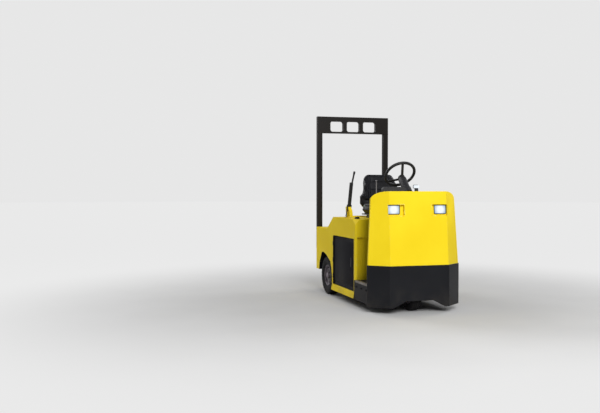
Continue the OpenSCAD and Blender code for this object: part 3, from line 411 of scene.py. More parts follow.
# Tyres: moulded black rubber with two ribs round the middle and rows of lugs on the
# shoulders. The rear pair sits on dished disc wheels, the front one on a plain disc.
def rubber(name, tone, dusty, low, high):
    """Tyre or mat rubber: greyed by dust up to a height, dull, finely pitted."""
    material, shader, place = start_finish(name, {"Specular IOR Level": 0.14})
    bloom = place.grain(11.0, 5.0).rise(0.35, 0.75)
    film = bloom * place.split()[2].rise(high, low)
    feed(shader, {
        "Base Color": film.tint(tone, dusty),
        "Roughness": 0.62 + bloom * 0.2,
        "Normal": place.grain(320.0, 3.0).relief(0.0003),
    })
    return material


tyre_rubber = rubber("tyre_rubber", (0.0072, 0.0068, 0.0078), (0.026, 0.024, 0.024), low=0.0, high=0.5)

# Side wall from the bead to the shoulder: share of the height, share of the half width
SIDE_WALL = [
    (0.005, 0.64), (0.08, 0.69), (0.15, 0.765), (0.23, 0.84), (0.235, 0.86), (0.255, 0.872),
    (0.26, 0.862), (0.36, 0.925), (0.50, 0.972), (0.62, 0.988), (0.76, 0.985), (0.87, 0.945),
    (0.94, 0.89), (0.975, 0.83),
]
GROOVE_DEPTH = 0.007
LUG_SHARE = 0.64


def add_tyre(name, node, body, joint, rim_r, lugs):
    """A tyre about its axle along Y, as high as the axle stands over the floor."""
    shape = bmesh.new()
    centre = joints[joint]["pos_m"]
    stand = aim(centre, (0, 1, 0))
    low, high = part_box(node)
    half = (high.y - low.y) / 2
    tread_r = centre[2]
    base = tread_r - GROOVE_DEPTH
    near = [(rim_r + share * (base - rim_r), part * half) for share, part in SIDE_WALL]
    for radius, part in ((base, 0.48), (base, 0.37), (tread_r, 0.355), (tread_r, 0.075), (base, 0.06)):
        near.append((radius, part * half))
    far = [(radius, -across) for radius, across in reversed(near)]
    add_lathe(shape, near + far, stand, 96, closed=True)
    # One lug's section: radius, share of the half width
    lug = [
        (base - 0.003, 0.46), (tread_r - 0.0004, 0.475), (tread_r - 0.0008, 0.74),
        (tread_r - 0.004, 0.87), (base - 0.005, 0.945), (base - 0.015, 0.955), (base - 0.014, 0.80),
    ]
    step = math.tau / lugs
    for side in (-1, 1):
        for spot in range(lugs):
            old = set(shape.verts)
            corners = [shape.verts.new((radius, 0, side * part * half)) for radius, part in lug]
            face = shape.faces.new(corners)
            bmesh.ops.spin(
                shape, geom=[face] + corners + face.edges[:], cent=(0, 0, 0), axis=(0, 0, 1),
                dvec=(0, 0, 0), angle=step * LUG_SHARE, steps=2, use_merge=False, use_duplicate=False,
            )
            turn = Matrix.Rotation(step * (spot + (0.5 if side > 0 else 0)), 4, "Z")
            bmesh.ops.transform(shape, matrix=stand @ turn, verts=fresh(shape, old))
    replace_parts(finish_piece(name, shape, tyre_rubber, body, sharp=28.0), node)


add_tyre("tread_rear_right", "rear_tyre_right", "rear_wheel_right", "rear_right_roll", rim_r=0.108, lugs=34)
add_tyre("tread_rear_left", "rear_tyre_left", "rear_wheel_left", "rear_left_roll", rim_r=0.108, lugs=34)
add_tyre("tread_front", "front_tyre", "front_wheel", "front_roll", rim_r=0.078, lugs=28)


# Wheels: pressed steel discs in dull grey enamel. Five nuts hold each rear one to its hub, a
# tyre valve comes through the disc, and a pressed cap in paler grey covers the bearing.
rim_paint = coat(
    "rim_enamel", (0.11, 0.092, 0.11), (0.17, 0.145, 0.17), (0.08, 0.06, 0.05),
    gloss=0.30, peel=0.6, dust=0.4, bend=0.002,
)
cap_paint = coat(
    "cap_enamel", (0.24, 0.205, 0.24), (0.32, 0.28, 0.32), (0.12, 0.09, 0.07),
    gloss=0.35, peel=0.6, dust=0.3, bend=0.002,
)
dress(["rear_rim_right", "rear_rim_left", "front_rim"], rim_paint, 0.001)

SIDES = (("right", -1), ("left", 1))
WHEEL_NUTS = 5
NUT_RING = 0.0450
NUT_FOOT = 0.0200
VALVE_RING = 0.0935
for word, side in SIDES:
    disc = aim((axle_x, side * wheel_y, axle_z), (0, side, 0))
    nuts = bmesh.new()
    for spot in range(WHEEL_NUTS):
        turn = math.tau * (spot + 0.25) / WHEEL_NUTS
        foot = disc @ Vector((NUT_RING * math.cos(turn), NUT_RING * math.sin(turn), NUT_FOOT))
        add_bolt(nuts, foot, (0, side, 0), across=0.0165, head=0.012)
        add_lathe(nuts, [
            (0, 0), (0.0045, 0), (0.0045, 0.019), (0.0035, 0.020), (0, 0.020),
        ], aim(foot, (0, side, 0)), 16)
    finish_piece("wheel_nuts_" + word, nuts, zinc, "rear_wheel_" + word)
    cap = bmesh.new()
    add_lathe(cap, [
        (0, 0.0534), (0.010, 0.0532), (0.019, 0.0520), (0.0235, 0.0495), (0.0245, 0.0475),
        (0.0285, 0.0475), (0.0290, 0.0468), (0.0290, 0.0440), (0, 0.0440),
    ], disc, 40)
    finish_piece("dust_cap_" + word, cap, cap_paint, "rear_wheel_" + word)
    valve = bmesh.new()
    add_lathe(valve, [
        (0, -0.004), (0.0050, -0.004), (0.0050, 0.004), (0.0032, 0.006), (0.0032, 0.020),
        (0.0040, 0.0205), (0.0040, 0.028), (0.0030, 0.029), (0, 0.029),
    ], disc @ aim((0.0, VALVE_RING, 0.0125), (0, -0.25, 1)), 20)
    finish_piece("valve_" + word, valve, tyre_rubber, "rear_wheel_" + word)


# Steering fork: forged crown and blades on a king pin. The wheel's spindle is held in the
# blades by two large nuts; the whole fork is bare oily steel.
dress(["steer_fork"], axle_steel, 0.003)

front_axle = Vector(joints["front_roll"]["pos_m"])
fork_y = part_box("steer_fork")[1].y
spindle = bmesh.new()
for side in (-1, 1):
    add_bolt(spindle, (front_axle.x, side * fork_y, front_axle.z), (0, side, 0), across=0.032, head=0.012)
finish_piece("spindle_nuts", spindle, zinc, "steer_head")


# Front bumper: a folded and welded band of thick steel plate round the nose, cut out over
# the wheel. It is enamelled black and carries the scuffs and scrapes of years of nudging.
bumper_enamel, shader, place = start_finish("bumper_enamel", {"Specular IOR Level": 0.18})
drift = place.grain(1.6, 5.0).rise(0.25, 0.80)
scuffs = place.grain(9.0, 6.0, (1.0, 0.25, 3.0)).rise(0.58, 0.74)
scrapes = place.grain(46.0, 4.0, (1.0, 0.05, 2.4)).rise(0.66, 0.74) * scuffs
worn = place.edges(0.004) * place.grain(22.0, 5.0).rise(0.45, 0.68)
film = place.split()[2].rise(0.34, 0.03) * place.grain(6.0, 6.0).rise(0.35, 0.85)
bare = drift.tint((0.0055, 0.0058, 0.0075), (0.0090, 0.0095, 0.0120))
rubbed = worn.tint(scrapes.tint(bare, (0.024, 0.024, 0.027)), (0.060, 0.060, 0.063))
feed(shader, {
    "Base Color": (film * 0.22).tint(rubbed, (0.10, 0.088, 0.068)),
    "Roughness": 0.34 + drift * 0.08 + scuffs * 0.14 + film * 0.2,
    "Normal": (place.grain(120.0, 3.0) - scrapes * 1.5).relief(0.0003),
})
dress(["front_bumper"], bumper_enamel, 0.004)


# Rear body, bulkhead and sills: folded sheet steel, welded at the corners and sprayed
# yellow, drawn paler along the bends, partly as rubbed paint and partly as a painted highlight.
# The hinge knuckles on its sides, which carry the battery doors, are sprayed black with them.
# The third colour, pale yellow, goes along the bends and edges: partly rubbed paint, partly a painted
# highlight where folded and rolled edges catch the light.
yellow_enamel = coat(
    "yellow_enamel", (0.84, 0.62, 0.012), (0.90, 0.68, 0.018), (0.95, 0.86, 0.24),
    gloss=0.07, peel=0.3, dust=0.35, bend=0.005,
)
dress(["footwell_panel", "sills"], yellow_enamel, 0.004)

# The black spray begins and ends within these places, along the body and out from its sides
SPRAY_START = (-0.2405, -0.2400)
SPRAY_END = (-0.1925, -0.1930)
SPRAY_SIDE = (0.4545, 0.4549)
body_enamel = yellow_enamel.copy()
body_enamel.name = "body_enamel"
shader = body_enamel.node_tree.nodes["Principled BSDF"]
yellow = Wire(body_enamel.node_tree, shader.inputs["Base Color"].links[0].from_socket)
place = Wire(body_enamel.node_tree, body_enamel.node_tree.nodes["Texture Coordinate"].outputs["Object"])
along, across = place.split()[:2]
knuckle = along.rise(*SPRAY_START) * along.rise(*SPRAY_END) * abs(across).rise(*SPRAY_SIDE)
feed(shader, {"Base Color": knuckle.tint(yellow, (0.0075, 0.0072, 0.0105))})
dress(["rear_body"], body_enamel, 0.004)


# Traction battery: a steel case with twenty-four cells, each under a moulded lid with a
# filler cap. Lead links join the cells along each row.
battery_case = coat(
    "battery_case", (0.018, 0.020, 0.024), (0.032, 0.034, 0.040), (0.10, 0.10, 0.10),
    gloss=0.4, peel=0.5, dust=0.4,
)
dress(["battery"], battery_case, 0.004)


def add_block(shape, low, high, width, stand=Matrix()):
    """A block between two corners with its edges rounded."""
    low, high = Vector(low), Vector(high)
    place = stand @ Matrix.Translation((low + high) / 2) @ Matrix.Diagonal((*(high - low), 1))
    round_edges(shape, bmesh.ops.create_cube(shape, size=1.0, matrix=place)["verts"], width)


CELLS_LONG, CELLS_WIDE = 6, 4
BORDER = 0.018
SUNK = 0.002
CELL_GAP = Vector((0.002, 0.002, 0))
LID_RISE = Vector((0, 0, 0.008))
LINK_HALF = Vector((0.035, 0.009, 0))
LINK_RISE = Vector((0, 0, 0.008))
low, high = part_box("battery")
cell = Vector(((high.x - low.x - 2 * BORDER) / CELLS_LONG, (high.y - low.y - 2 * BORDER) / CELLS_WIDE, 0))
lids, caps, links = bmesh.new(), bmesh.new(), bmesh.new()
for row in range(CELLS_WIDE):
    for spot in range(CELLS_LONG):
        foot = Vector((low.x + BORDER + spot * cell.x, low.y + BORDER + row * cell.y, high.z - SUNK))
        add_block(lids, foot + CELL_GAP, foot + cell - CELL_GAP + LID_RISE, 0.003)
        middle = foot + cell / 2 + LID_RISE - Vector((0, 0, SUNK))
        add_lathe(caps, [
            (0, 0), (0.017, 0), (0.017, 0.010), (0.015, 0.012), (0.008, 0.012), (0.006, 0.015), (0, 0.015),
        ], Matrix.Translation(middle), 24)
        if spot:
            poles = middle + Vector((-cell.x / 2, (0.3 if (spot + row) % 2 else -0.3) * cell.y, 0))
            add_block(links, poles - LINK_HALF, poles + LINK_HALF + LINK_RISE, 0.003)
finish_piece("cell_lids", lids, battery_case, "vehicle")
cap_plastic = coat(
    "cap_plastic", (0.45, 0.40, 0.30), (0.55, 0.49, 0.36), (0.6, 0.55, 0.4), gloss=0.4, peel=0.3, dust=0.0,
)
finish_piece("filler_caps", caps, cap_plastic, "vehicle")
lead = metal("lead_links", (0.16, 0.16, 0.17), (0.26, 0.26, 0.27), rough=0.45, grime=0.3)
finish_piece("cell_links", links, lead, "vehicle")


# Battery doors: folded steel trays hung on the body's knuckles at their rear edge. A pressed
# field stiffens each one, and a flush paddle catch at the front edge holds it shut.
door_coat = coat(
    "door_coat", (0.0050, 0.0048, 0.0072), (0.0080, 0.0076, 0.0112), (0.04, 0.04, 0.05),
    gloss=0.05, peel=0.4, dust=0.2,
)
dress(["battery_door_right", "battery_door_left"], door_coat, 0.002)


def add_side_plate(shape, side, length, height, out, width):
    """A rounded plate on one side: its reach along the tractor, upwards, and out from the middle."""
    right, left = sorted((side * out[0], side * out[1]))
    add_block(shape, (length[0], right, height[0]), (length[1], left, height[1]), width)


LOCK = (0.357, 0.4545, 0.461)
for word, side in SIDES:
    field, catch = bmesh.new(), bmesh.new()
    add_side_plate(field, side, (-0.180, 0.392), (0.190, 0.632), (0.4484, 0.4540), 0.0024)
    finish_piece("door_field_" + word, field, door_coat, "door_" + word)
    add_side_plate(catch, side, (0.330, 0.384), (0.385, 0.475), (0.4520, 0.4570), 0.0020)
    add_side_plate(catch, side, (0.338, 0.376), (0.394, 0.448), (0.4535, 0.4585), 0.0020)
    add_lathe(catch, [
        (0, 0), (0.007, 0), (0.007, 0.0045), (0.006, 0.0055), (0, 0.0055),
    ], aim((LOCK[0], side * LOCK[1], LOCK[2]), (0, side, 0)), 24)
    finish_piece("door_catch_" + word, catch, black_coat, "door_" + word)


# Seat deck lid: a folded yellow panel hinged at the rear, which carries the seat. A rubber
# toggle latch on the deck beside it pulls it down.
dress(["seat_deck"], yellow_enamel, 0.003)

latch_rubber = rubber("latch_rubber", (0.012, 0.012, 0.012), (0.040, 0.038, 0.034), low=0.5, high=0.9)
latch = bmesh.new()
# Base plate, heel, strap and grip
add_block(latch, (0.300, -0.402, 0.862), (0.372, -0.372, 0.869), 0.002)
add_block(latch, (0.306, -0.398, 0.866), (0.330, -0.376, 0.884), 0.004)
add_block(latch, (0.322, -0.395, 0.872), (0.366, -0.379, 0.879), 0.003)
add_block(latch, (0.356, -0.400, 0.866), (0.370, -0.374, 0.886), 0.004)
finish_piece("deck_latch", latch, latch_rubber, "vehicle")


# Cowl: one folded sheet over the nose, rolled along its top edge and sprayed yellow. Button
# screws along its rear returns hold it to the dash; they are painted with it.
# Along the rolled top edge and the folds, the enamel's pale edge colour is partly a painted highlight.
dress(["cowl"], yellow_enamel, 0.006)

# Screws on one side: station, distance from the centre line, height
COWL_SCREWS = [(0.8364, 0.4574, 0.550), (0.8276, 0.4436, 0.800), (0.8197, 0.4314, 1.020)]
SIDE_LEAN = 0.055
screws = bmesh.new()
for x, y, z in COWL_SCREWS:
    for side in (-1, 1):
        add_lathe(screws, [
            (0, -0.001), (0.0068, -0.001), (0.0066, 0.0010), (0.0050, 0.0026), (0.0026, 0.0031),
            (0.0024, 0.0014), (0, 0.0014),
        ], aim((x, side * y, z), (0, side, SIDE_LEAN)), 24)
finish_piece("cowl_screws", screws, yellow_enamel, "vehicle")


# Headlamps: rectangular lamps deep in folded yellow pockets. A dark plastic bezel holds the
# fluted lens; the lamps are lit, brightest round the bulb and bluish towards the edge.
dress(["headlamp_right", "headlamp_left"], yellow_enamel, 0.0015)


def add_panel(shape, size, corner, depth, stand, width, border=0.0):
    """A plate with rounded corners on its stand's floor, or only its rim where a border is given."""
    old = set(shape.verts)
    bmesh.ops.create_grid(
        shape, x_segments=1, y_segments=1, size=0.5, matrix=Matrix.Diagonal((size[0], size[1], 1, 1)),
    )
    bmesh.ops.bevel(
        shape, geom=fresh(shape, old), offset=corner, offset_type="OFFSET", affect="VERTICES",
        segments=6, profile=0.5, material=-1,
    )
    faces = list({f for v in fresh(shape, old) for f in v.link_faces})
    if border:
        bmesh.ops.inset_region(
            shape, faces=faces, thickness=border, use_boundary=True, use_even_offset=True,
        )
        bmesh.ops.delete(shape, geom=faces, context="FACES_ONLY")
        faces = list({f for v in fresh(shape, old) for f in v.link_faces})
    raised = bmesh.ops.extrude_face_region(shape, geom=faces)["geom"]
    top = {v for v in raised if isinstance(v, bmesh.types.BMVert)}
    bmesh.ops.translate(shape, vec=(0, 0, depth), verts=list(top))
    rim = {e for v in top for e in v.link_edges if e.other_vert(v) in top}
    bmesh.ops.bevel(
        shape, geom=[e for e in rim if len(e.link_faces) == 2 and e.calc_face_angle(0) > 1.0],
        offset=width, offset_type="OFFSET", affect="EDGES", segments=2, profile=0.5,
        material=-1, clamp_overlap=True,
    )
    bmesh.ops.transform(shape, matrix=stand, verts=fresh(shape, old))


def lit_glass(name, middle, reach, flutes):
    """A lit lens: white over the bulb, bluish further out, fluted."""
    material, shader, place = start_finish(name, {
        "Emission Strength": 1.0, "Base Color": (0.06, 0.07, 0.08, 1), "Specular IOR Level": 0.2,
    })
    offset = place.node("VectorMath", {"operation": "SUBTRACT"}, {0: place, 1: middle})
    spread = offset.node("VectorMath", {"operation": "LENGTH"}, {0: offset}, "Value")
    ribs = (place.split()[1] * flutes).maths("SINE")
    shade = spread.rise(reach * 0.35, reach) + place.grain(40.0, 3.0) * 0.25 + ribs * 0.06
    feed(shader, {
        "Emission Color": shade.tint((0.93, 0.97, 1.0), (0.36, 0.47, 0.60)),
        "Roughness": 0.10 + place.grain(60.0) * 0.12,
        "Normal": ribs.relief(0.0008),
    })
    return material


lamp_plastic = coat(
    "lamp_plastic", (0.045, 0.048, 0.052), (0.070, 0.074, 0.080), (0.10, 0.10, 0.11),
    gloss=0.25, peel=0.2, dust=0.2,
)
# The cowl's front leans back 50 mm over its height of 693 mm, and the pockets lean with it
LAMP_LEAN = math.atan(50 / 693)
LAMP_X, LAMP_Y, LAMP_Z = 0.9507, 0.220, 0.966
LENS_DEPTH = 0.0328
LENS_OUT = 0.016
LENS_LIFT = 0.006
GLASS_HALF_W, GLASS_HALF_H = 0.0585, 0.0400
GLASS_EDGE = 0.0026
CROWN = 0.0055
FLUTE = 0.0005
for word, side in SIDES:
    pocket = Matrix.Translation((LAMP_X, side * LAMP_Y, LAMP_Z)) @ Matrix.Rotation(-LAMP_LEAN, 4, "Y")
    seat = pocket @ aim((-LENS_DEPTH, side * LENS_OUT, LENS_LIFT), (1, 0, 0))
    bezel = bmesh.new()
    add_panel(bezel, (0.127, 0.090), 0.014, 0.0045, seat, border=0.008, width=0.0015)
    finish_piece("headlamp_bezel_" + word, bezel, lamp_plastic, "vehicle")
    glass = bmesh.new()
    bmesh.ops.create_grid(glass, x_segments=56, y_segments=24, size=0.5)
    for point in glass.verts:
        across, up = 2 * point.co.x, 2 * point.co.y
        crown = CROWN * (1 - abs(across) ** 3) * (1 - abs(up) ** 3)
        flute = FLUTE * math.sin(60 * across) * (1 - abs(up) ** 6)
        point.co = (across * GLASS_HALF_W, up * GLASS_HALF_H, GLASS_EDGE + crown + flute)
    bmesh.ops.solidify(glass, geom=glass.faces[:], thickness=0.0025)
    bmesh.ops.transform(glass, matrix=seat, verts=glass.verts)
    lit = lit_glass("lit_glass_" + word, tuple(seat.translation), reach=0.066, flutes=900.0)
    made = finish_piece("headlamp_glass_" + word, glass, lit, "vehicle", sharp=60.0)
    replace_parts(made, "headlamp_lens_" + word)


# Marker lamp: a small white lamp on a moulded foot on the cowl's top. Its clear cover is a
# rounded block of fluted plastic, lit from inside.
moulded_black, shader, place = start_finish("moulded_black", {"Specular IOR Level": 0.32})
pores = place.pebbles(620.0)
drift = place.grain(3.0, 4.0).rise(0.3, 0.7)
worn = place.edges(0.003) * place.grain(30.0, 4.0).rise(0.45, 0.70)
feed(shader, {
    "Base Color": (drift * 0.8 + worn * 0.5).tint((0.013, 0.013, 0.015), (0.024, 0.024, 0.027)),
    "Roughness": 0.46 + pores * 0.15 + drift * 0.08 - worn * 0.1,
    "Normal": (pores + place.grain(300.0, 2.0) * 0.4).relief(0.0003),
})
dress(["marker_foot"], moulded_black, 0.0015)

low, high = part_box("marker_lens")
cover = bmesh.new()
add_panel(
    cover, (high.y - low.y, high.z - low.z), 0.008, high.x - low.x,
    aim((low.x, 0, (low.z + high.z) / 2), (1, 0, 0)), width=0.004,
)
lit = lit_glass("marker_glass", tuple((low + high) / 2), reach=0.055, flutes=1600.0)
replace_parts(finish_piece("marker_cover", cover, lit, "vehicle"), "marker_lens")


# Dash and pedestal: formed black plastic shells with a pebbled grain, screwed to the cowl's
# back edge. The hood holds a dark instrument plate that faces the driver.
dress(["dash_panel", "pedestal"], moulded_black, 0.003)

plate_black = coat(
    "plate_black", (0.008, 0.008, 0.009), (0.012, 0.012, 0.013), (0.05, 0.05, 0.05),
    gloss=0.45, peel=0.1, dust=0.0, bend=0.001,
)
white_marks = coat(
    "white_marks", (0.60, 0.60, 0.58), (0.70, 0.70, 0.68), (0.7, 0.7, 0.7), gloss=0.4, dust=0.0, bend=0.001,
)
PLATE_T = 0.003
# Each dial's place across the plate and its pointer's angle
DIALS = ((-0.058, 70), (0.004, -50))
TICKS = 11
SWEEP = 240
plate = aim((0.7479, -0.166, 1.128), (-1, 0, 0))
base, rings, marks, lamps = bmesh.new(), bmesh.new(), bmesh.new(), bmesh.new()
add_panel(base, (0.192, 0.068), 0.010, PLATE_T, plate, width=0.0008)
for across, pointer in DIALS:
    dial = plate @ Matrix.Translation((across, 0, PLATE_T))
    add_lathe(rings, [
        (0.0250, 0), (0.0290, 0), (0.0294, 0.004), (0.0275, 0.007), (0.0258, 0.0064), (0.0250, 0.0030),
    ], dial, 48, closed=True)
    add_lathe(rings, [(0, 0), (0.0030, 0), (0.0030, 0.0028), (0.0020, 0.0034), (0, 0.0034)], dial, 20)
    for tick in range(TICKS):
        turn = Matrix.Rotation(math.radians(SWEEP * tick / (TICKS - 1) - SWEEP / 2), 4, "Z")
        start = 0.0185 if tick % 5 == 0 else 0.0205
        add_block(marks, (-0.0005, start, 0), (0.0005, 0.0235, 0.0006), 0.0001, dial @ turn)
    needle = dial @ Matrix.Rotation(math.radians(pointer), 4, "Z")
    add_block(marks, (-0.0006, -0.004, 0.0012), (0.0006, 0.0185, 0.0020), 0.0002, needle)
key = plate @ Matrix.Translation((0.062, -0.014, PLATE_T))
add_lathe(rings, [
    (0, 0), (0.0110, 0), (0.0110, 0.004), (0.0095, 0.0055), (0.0050, 0.0055), (0.0050, 0.004), (0, 0.004),
], key, 32)
add_block(rings, (-0.0012, -0.0060, 0.003), (0.0012, 0.0060, 0.024), 0.0008, key)
for across in (0.048, 0.062, 0.076):
    add_lathe(lamps, [
        (0, 0), (0.0042, 0), (0.0042, 0.0015), (0.0032, 0.0030), (0, 0.0037),
    ], plate @ Matrix.Translation((across, 0.016, PLATE_T)), 24)
finish_piece("instrument_plate", base, plate_black, "vehicle")
finish_piece("instrument_rings", rings, zinc, "vehicle")
finish_piece("dial_marks", marks, white_marks, "vehicle")

red_lens, shader, place = start_finish("red_lens", {"Specular IOR Level": 0.5, "Coat Weight": 0.3})
flutes = place.pebbles(260.0)
feed(shader, {
    "Base Color": (flutes * 0.6 + place.grain(20.0) * 0.4).tint((0.30, 0.006, 0.006), (0.52, 0.016, 0.012)),
    "Roughness": 0.14 + place.grain(30.0, 4.0) * 0.16,
    "Normal": flutes.relief(0.0006),
})
finish_piece("warning_lamps", lamps, red_lens, "vehicle")

brushed_rod = metal(
    "brushed_rod", (0.16, 0.15, 0.155), (0.26, 0.25, 0.25), rough=0.34, brushed=(1.0, 1.0, 0.08), grime=0.1,
)
dress(["dash_rod"], brushed_rod, 0.001)


# Steering column and wheel: a plastic cover over the column, and a wheel of dark rubber
# moulded on a steel ring. A moulded cap hides the hub's nut.
dress(["steering_column"], moulded_black, 0.002)

grip_rubber, shader, place = start_finish("grip_rubber", {"Specular IOR Level": 0.35})
pores = place.pebbles(900.0)
hand = place.grain(8.0, 4.0).rise(0.35, 0.7)
feed(shader, {
    "Base Color": hand.tint((0.010, 0.010, 0.010), (0.016, 0.016, 0.017)),
    "Roughness": 0.34 + hand * 0.14 + pores * 0.1,
    "Normal": pores.relief(0.00025),
})
dress(["steering_wheel"], grip_rubber, 0.002)

column = aim(joints["handwheel_turn"]["pos_m"], joints["handwheel_turn"]["axis"])
cap = bmesh.new()
add_lathe(cap, [
    (0, -0.0350), (0.014, -0.0353), (0.024, -0.0372), (0.029, -0.0400), (0.0300, -0.0420),
    (0.0325, -0.0425), (0.0335, -0.0440), (0.0335, -0.0480), (0, -0.0480),
], column, 48)
finish_piece("hub_cap", cap, moulded_black, "steering_handwheel")


# Pedals: pressed steel soles on stalks, the short one for the brake and the long one for
# the drive. Both wear ribbed rubber pads.
dress(["brake_pedal", "drive_pedal"], black_coat, 0.0015)

SOLE_X, SOLE_Z = 0.6923, 0.295
SOLE_LEAN = math.radians(-52)
PAD_INSET = 0.003
RIB_START = 0.008
RIB_PITCH = 0.012
for word, length in (("brake", 0.090), ("drive", 0.170)):
    low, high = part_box(word + "_pedal")
    half = (high.y - low.y) / 2 - PAD_INSET
    foot = Matrix.Translation((SOLE_X, (low.y + high.y) / 2, SOLE_Z))
    sole = foot @ Matrix.Rotation(SOLE_LEAN, 4, "Y")
    pad = bmesh.new()
    add_block(pad, (PAD_INSET, -half, 0.008), (length - PAD_INSET, half, 0.011), 0.001, sole)
    for rib in range(int((length - 2 * RIB_START) / RIB_PITCH)):
        start = RIB_START + RIB_PITCH * rib
        add_block(pad, (start, -half + 0.004, 0.010), (start + 0.006, half - 0.004, 0.0140), 0.0012, sole)
    finish_piece(word + "_pad", pad, latch_rubber, "vehicle")


# Footwell mat: black rubber, moulded with fine ribs across the vehicle. It lies loose on the
# floor plate, and steel trims, dulled by boots and screwed along both edges, hold it down.
RIBS_PER_METRE = 80.0
mat_rubber, shader, place = start_finish("ribbed_mat", {"Specular IOR Level": 0.25})
rib = (place.split()[0] * RIBS_PER_METRE).maths("FRACT")
ridge = abs(rib - 0.5).rise(0.14, 0.30)
dust = place.grain(9.0, 6.0).rise(0.35, 0.75)
feed(shader, {
    "Base Color": (dust * 0.6 + ridge * 0.4).tint((0.012, 0.012, 0.012), (0.045, 0.042, 0.037)),
    "Roughness": 0.62 + dust * 0.2,
    "Normal": (ridge + place.grain(300.0, 2.0) * 0.1).relief(0.0012),
})
dress(["floor_mat"], mat_rubber, 0.001)

brushed_trim = metal(
    "brushed_trim", (0.21, 0.19, 0.17), (0.36, 0.33, 0.30), rough=0.36, brushed=(0.03, 1.0, 1.0), grime=0.35,
)
dress(["step_trims"], brushed_trim, 0.001)

TRIM_SCREW_Y = 0.442
trim_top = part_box("step_trims")[1].z
screws = bmesh.new()
for side in (-1, 1):
    for x in (0.510, 0.610, 0.710, 0.810):
        add_lathe(screws, [
            (0, -0.001), (0.0052, -0.001), (0.0052, 0.0005), (0.0030, 0.0013), (0.0022, 0.0013),
            (0.0018, 0.0002), (0, 0.0002),
        ], Matrix.Translation((x, side * TRIM_SCREW_Y, trim_top)), 20)
finish_piece("trim_screws", screws, zinc, "vehicle")


# Seat: foam pads under stretched black vinyl on a steel pan. The covers are sewn from a
# middle panel and side panels; the seams pull the foam in and stand beside a thin welt.
black_pan = coat(
    "black_pan", (0.012, 0.012, 0.013), (0.020, 0.020, 0.022), (0.09, 0.09, 0.09),
    gloss=0.35, peel=0.2, dust=0.5,
)
dress(["seat_base"], black_pan, 0.002)

seat_vinyl, shader, place = start_finish("seat_vinyl", {"Specular IOR Level": 0.16})
leather = place.pebbles(420.0)
crease = place.grain(34.0, 5.0, (1.0, 1.0, 0.5)).rise(0.35, 0.65)
shine = place.grain(5.0, 3.0).rise(0.35, 0.70)
feed(shader, {
    "Base Color": (shine * 0.6 + leather * 0.4).tint((0.0060, 0.0060, 0.0076), (0.0102, 0.0102, 0.0132)),
    "Roughness": 0.50 - shine * 0.12 + leather * 0.1,
    "Normal": (leather + crease * 0.6).relief(0.00045),
})

VOXEL = 0.007
CLOTH_STEPS = 20


def settle(piece):
    """Works the piece's modifiers into its mesh."""
    shown = piece.evaluated_get(bpy.context.evaluated_depsgraph_get())
    made = bpy.data.meshes.new_from_object(shown)
    piece.modifiers.clear()
    piece.data = made


def cut_pad(name, node, drawn_in):
    """A copy of a pad's solid, drawn in a little and meshed evenly."""
    low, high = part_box(node)
    middle, size = (low + high) / 2, high - low
    smaller = Matrix.Diagonal((*(1 - 2 * drawn_in / side for side in size), 1))
    shape = bmesh.new()
    shape.from_mesh(frame["nodes"][node].data)
    bmesh.ops.remove_doubles(shape, verts=shape.verts, dist=1e-5)
    bmesh.ops.transform(
        shape, matrix=Matrix.Translation(middle) @ smaller @ Matrix.Translation(-middle), verts=shape.verts,
    )
    mesh = bpy.data.meshes.new(name)
    shape.to_mesh(mesh)
    shape.free()
    piece = bpy.data.objects.new(name, mesh)
    bpy.context.scene.collection.objects.link(piece)
    remesh = piece.modifiers.new("cut", "REMESH")
    remesh.mode = "VOXEL"
    remesh.voxel_size = VOXEL
    settle(piece)
    return piece


def swell_pad(piece, most):
    """Blows a cover up as its foam does; no point moves further than the most."""
    start = [point.co.copy() for point in piece.data.vertices]
    cloth = piece.modifiers.new("stuffing", "CLOTH")
    cloth.settings.quality = 4
    cloth.settings.mass = 0.3
    cloth.settings.use_pressure = True
    cloth.settings.uniform_pressure_force = 4.0
    cloth.settings.effector_weights.gravity = 0.0
    for step in range(1, CLOTH_STEPS + 1):
        bpy.context.scene.frame_set(step)
    settle(piece)
    bpy.context.scene.frame_set(1)
    for point, origin in zip(piece.data.vertices, start):
        move = point.co - origin
        point.co = origin + move * min(1.0, most / max(move.length, 1e-6))


def stuff(name, node, drawn_in, swell):
    """A pad's solid as a foam-filled cover, still without its seams."""
    piece = cut_pad(name, node, drawn_in)
    swell_pad(piece, swell)
    finer = piece.modifiers.new("finer", "SUBSURF")
    finer.levels = finer.render_levels = 1
    settle(piece)
    return piece


SEAM_W = 0.006
SEAM_DEPTH = 0.0045
# The welt beside a seam: its height as a share of the seam's depth, its place and its width
WELT_SHARE = 0.28
WELT_OFF = 0.011
WELT_W = 0.005


def sew(piece, seams):
    """Pulls in the seams: each gives a signed distance to its line and how much it counts."""
    for point, normal in [(p, p.normal.copy()) for p in piece.data.vertices]:
        pull = 0.0
        for seam in seams:
            gap, counts = seam(point.co, normal)
            pull -= counts * SEAM_DEPTH * math.exp(-((gap / SEAM_W) ** 2))
            pull += counts * SEAM_DEPTH * WELT_SHARE * math.exp(-(((gap - WELT_OFF) / WELT_W) ** 2))
        if pull:
            point.co += normal * pull


def facing(value):
    """0 to 1 as a normal's part goes from sideways to straight on."""
    return min(max((value - 0.25) / 0.3, 0.0), 1.0)


def channel(axis, line, face, half):
    """A shallow sewn channel across a pad's middle panel, on the face that this axis meets."""
    return lambda p, n: (p[axis] - line, facing(n[face]) * (abs(p.y) < half) * 0.7)


STAND_PROUD = 0.004


def cover_pad(piece, node, floor_h):
    """Flattens the pad on what it rests on, keeps it in its place and hangs it on the lid."""
    low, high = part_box(node)
    for point in piece.data.vertices:
        point.co.z = max(point.co.z, floor_h)
        for axis in (0, 1):
            point.co[axis] = min(max(point.co[axis], low[axis] - STAND_PROUD), high[axis] + STAND_PROUD)
    piece.data.materials.clear()
    piece.data.materials.append(seat_vinyl)
    piece.data.shade_smooth()
    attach(piece, "seat_lid")
    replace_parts(piece, node)


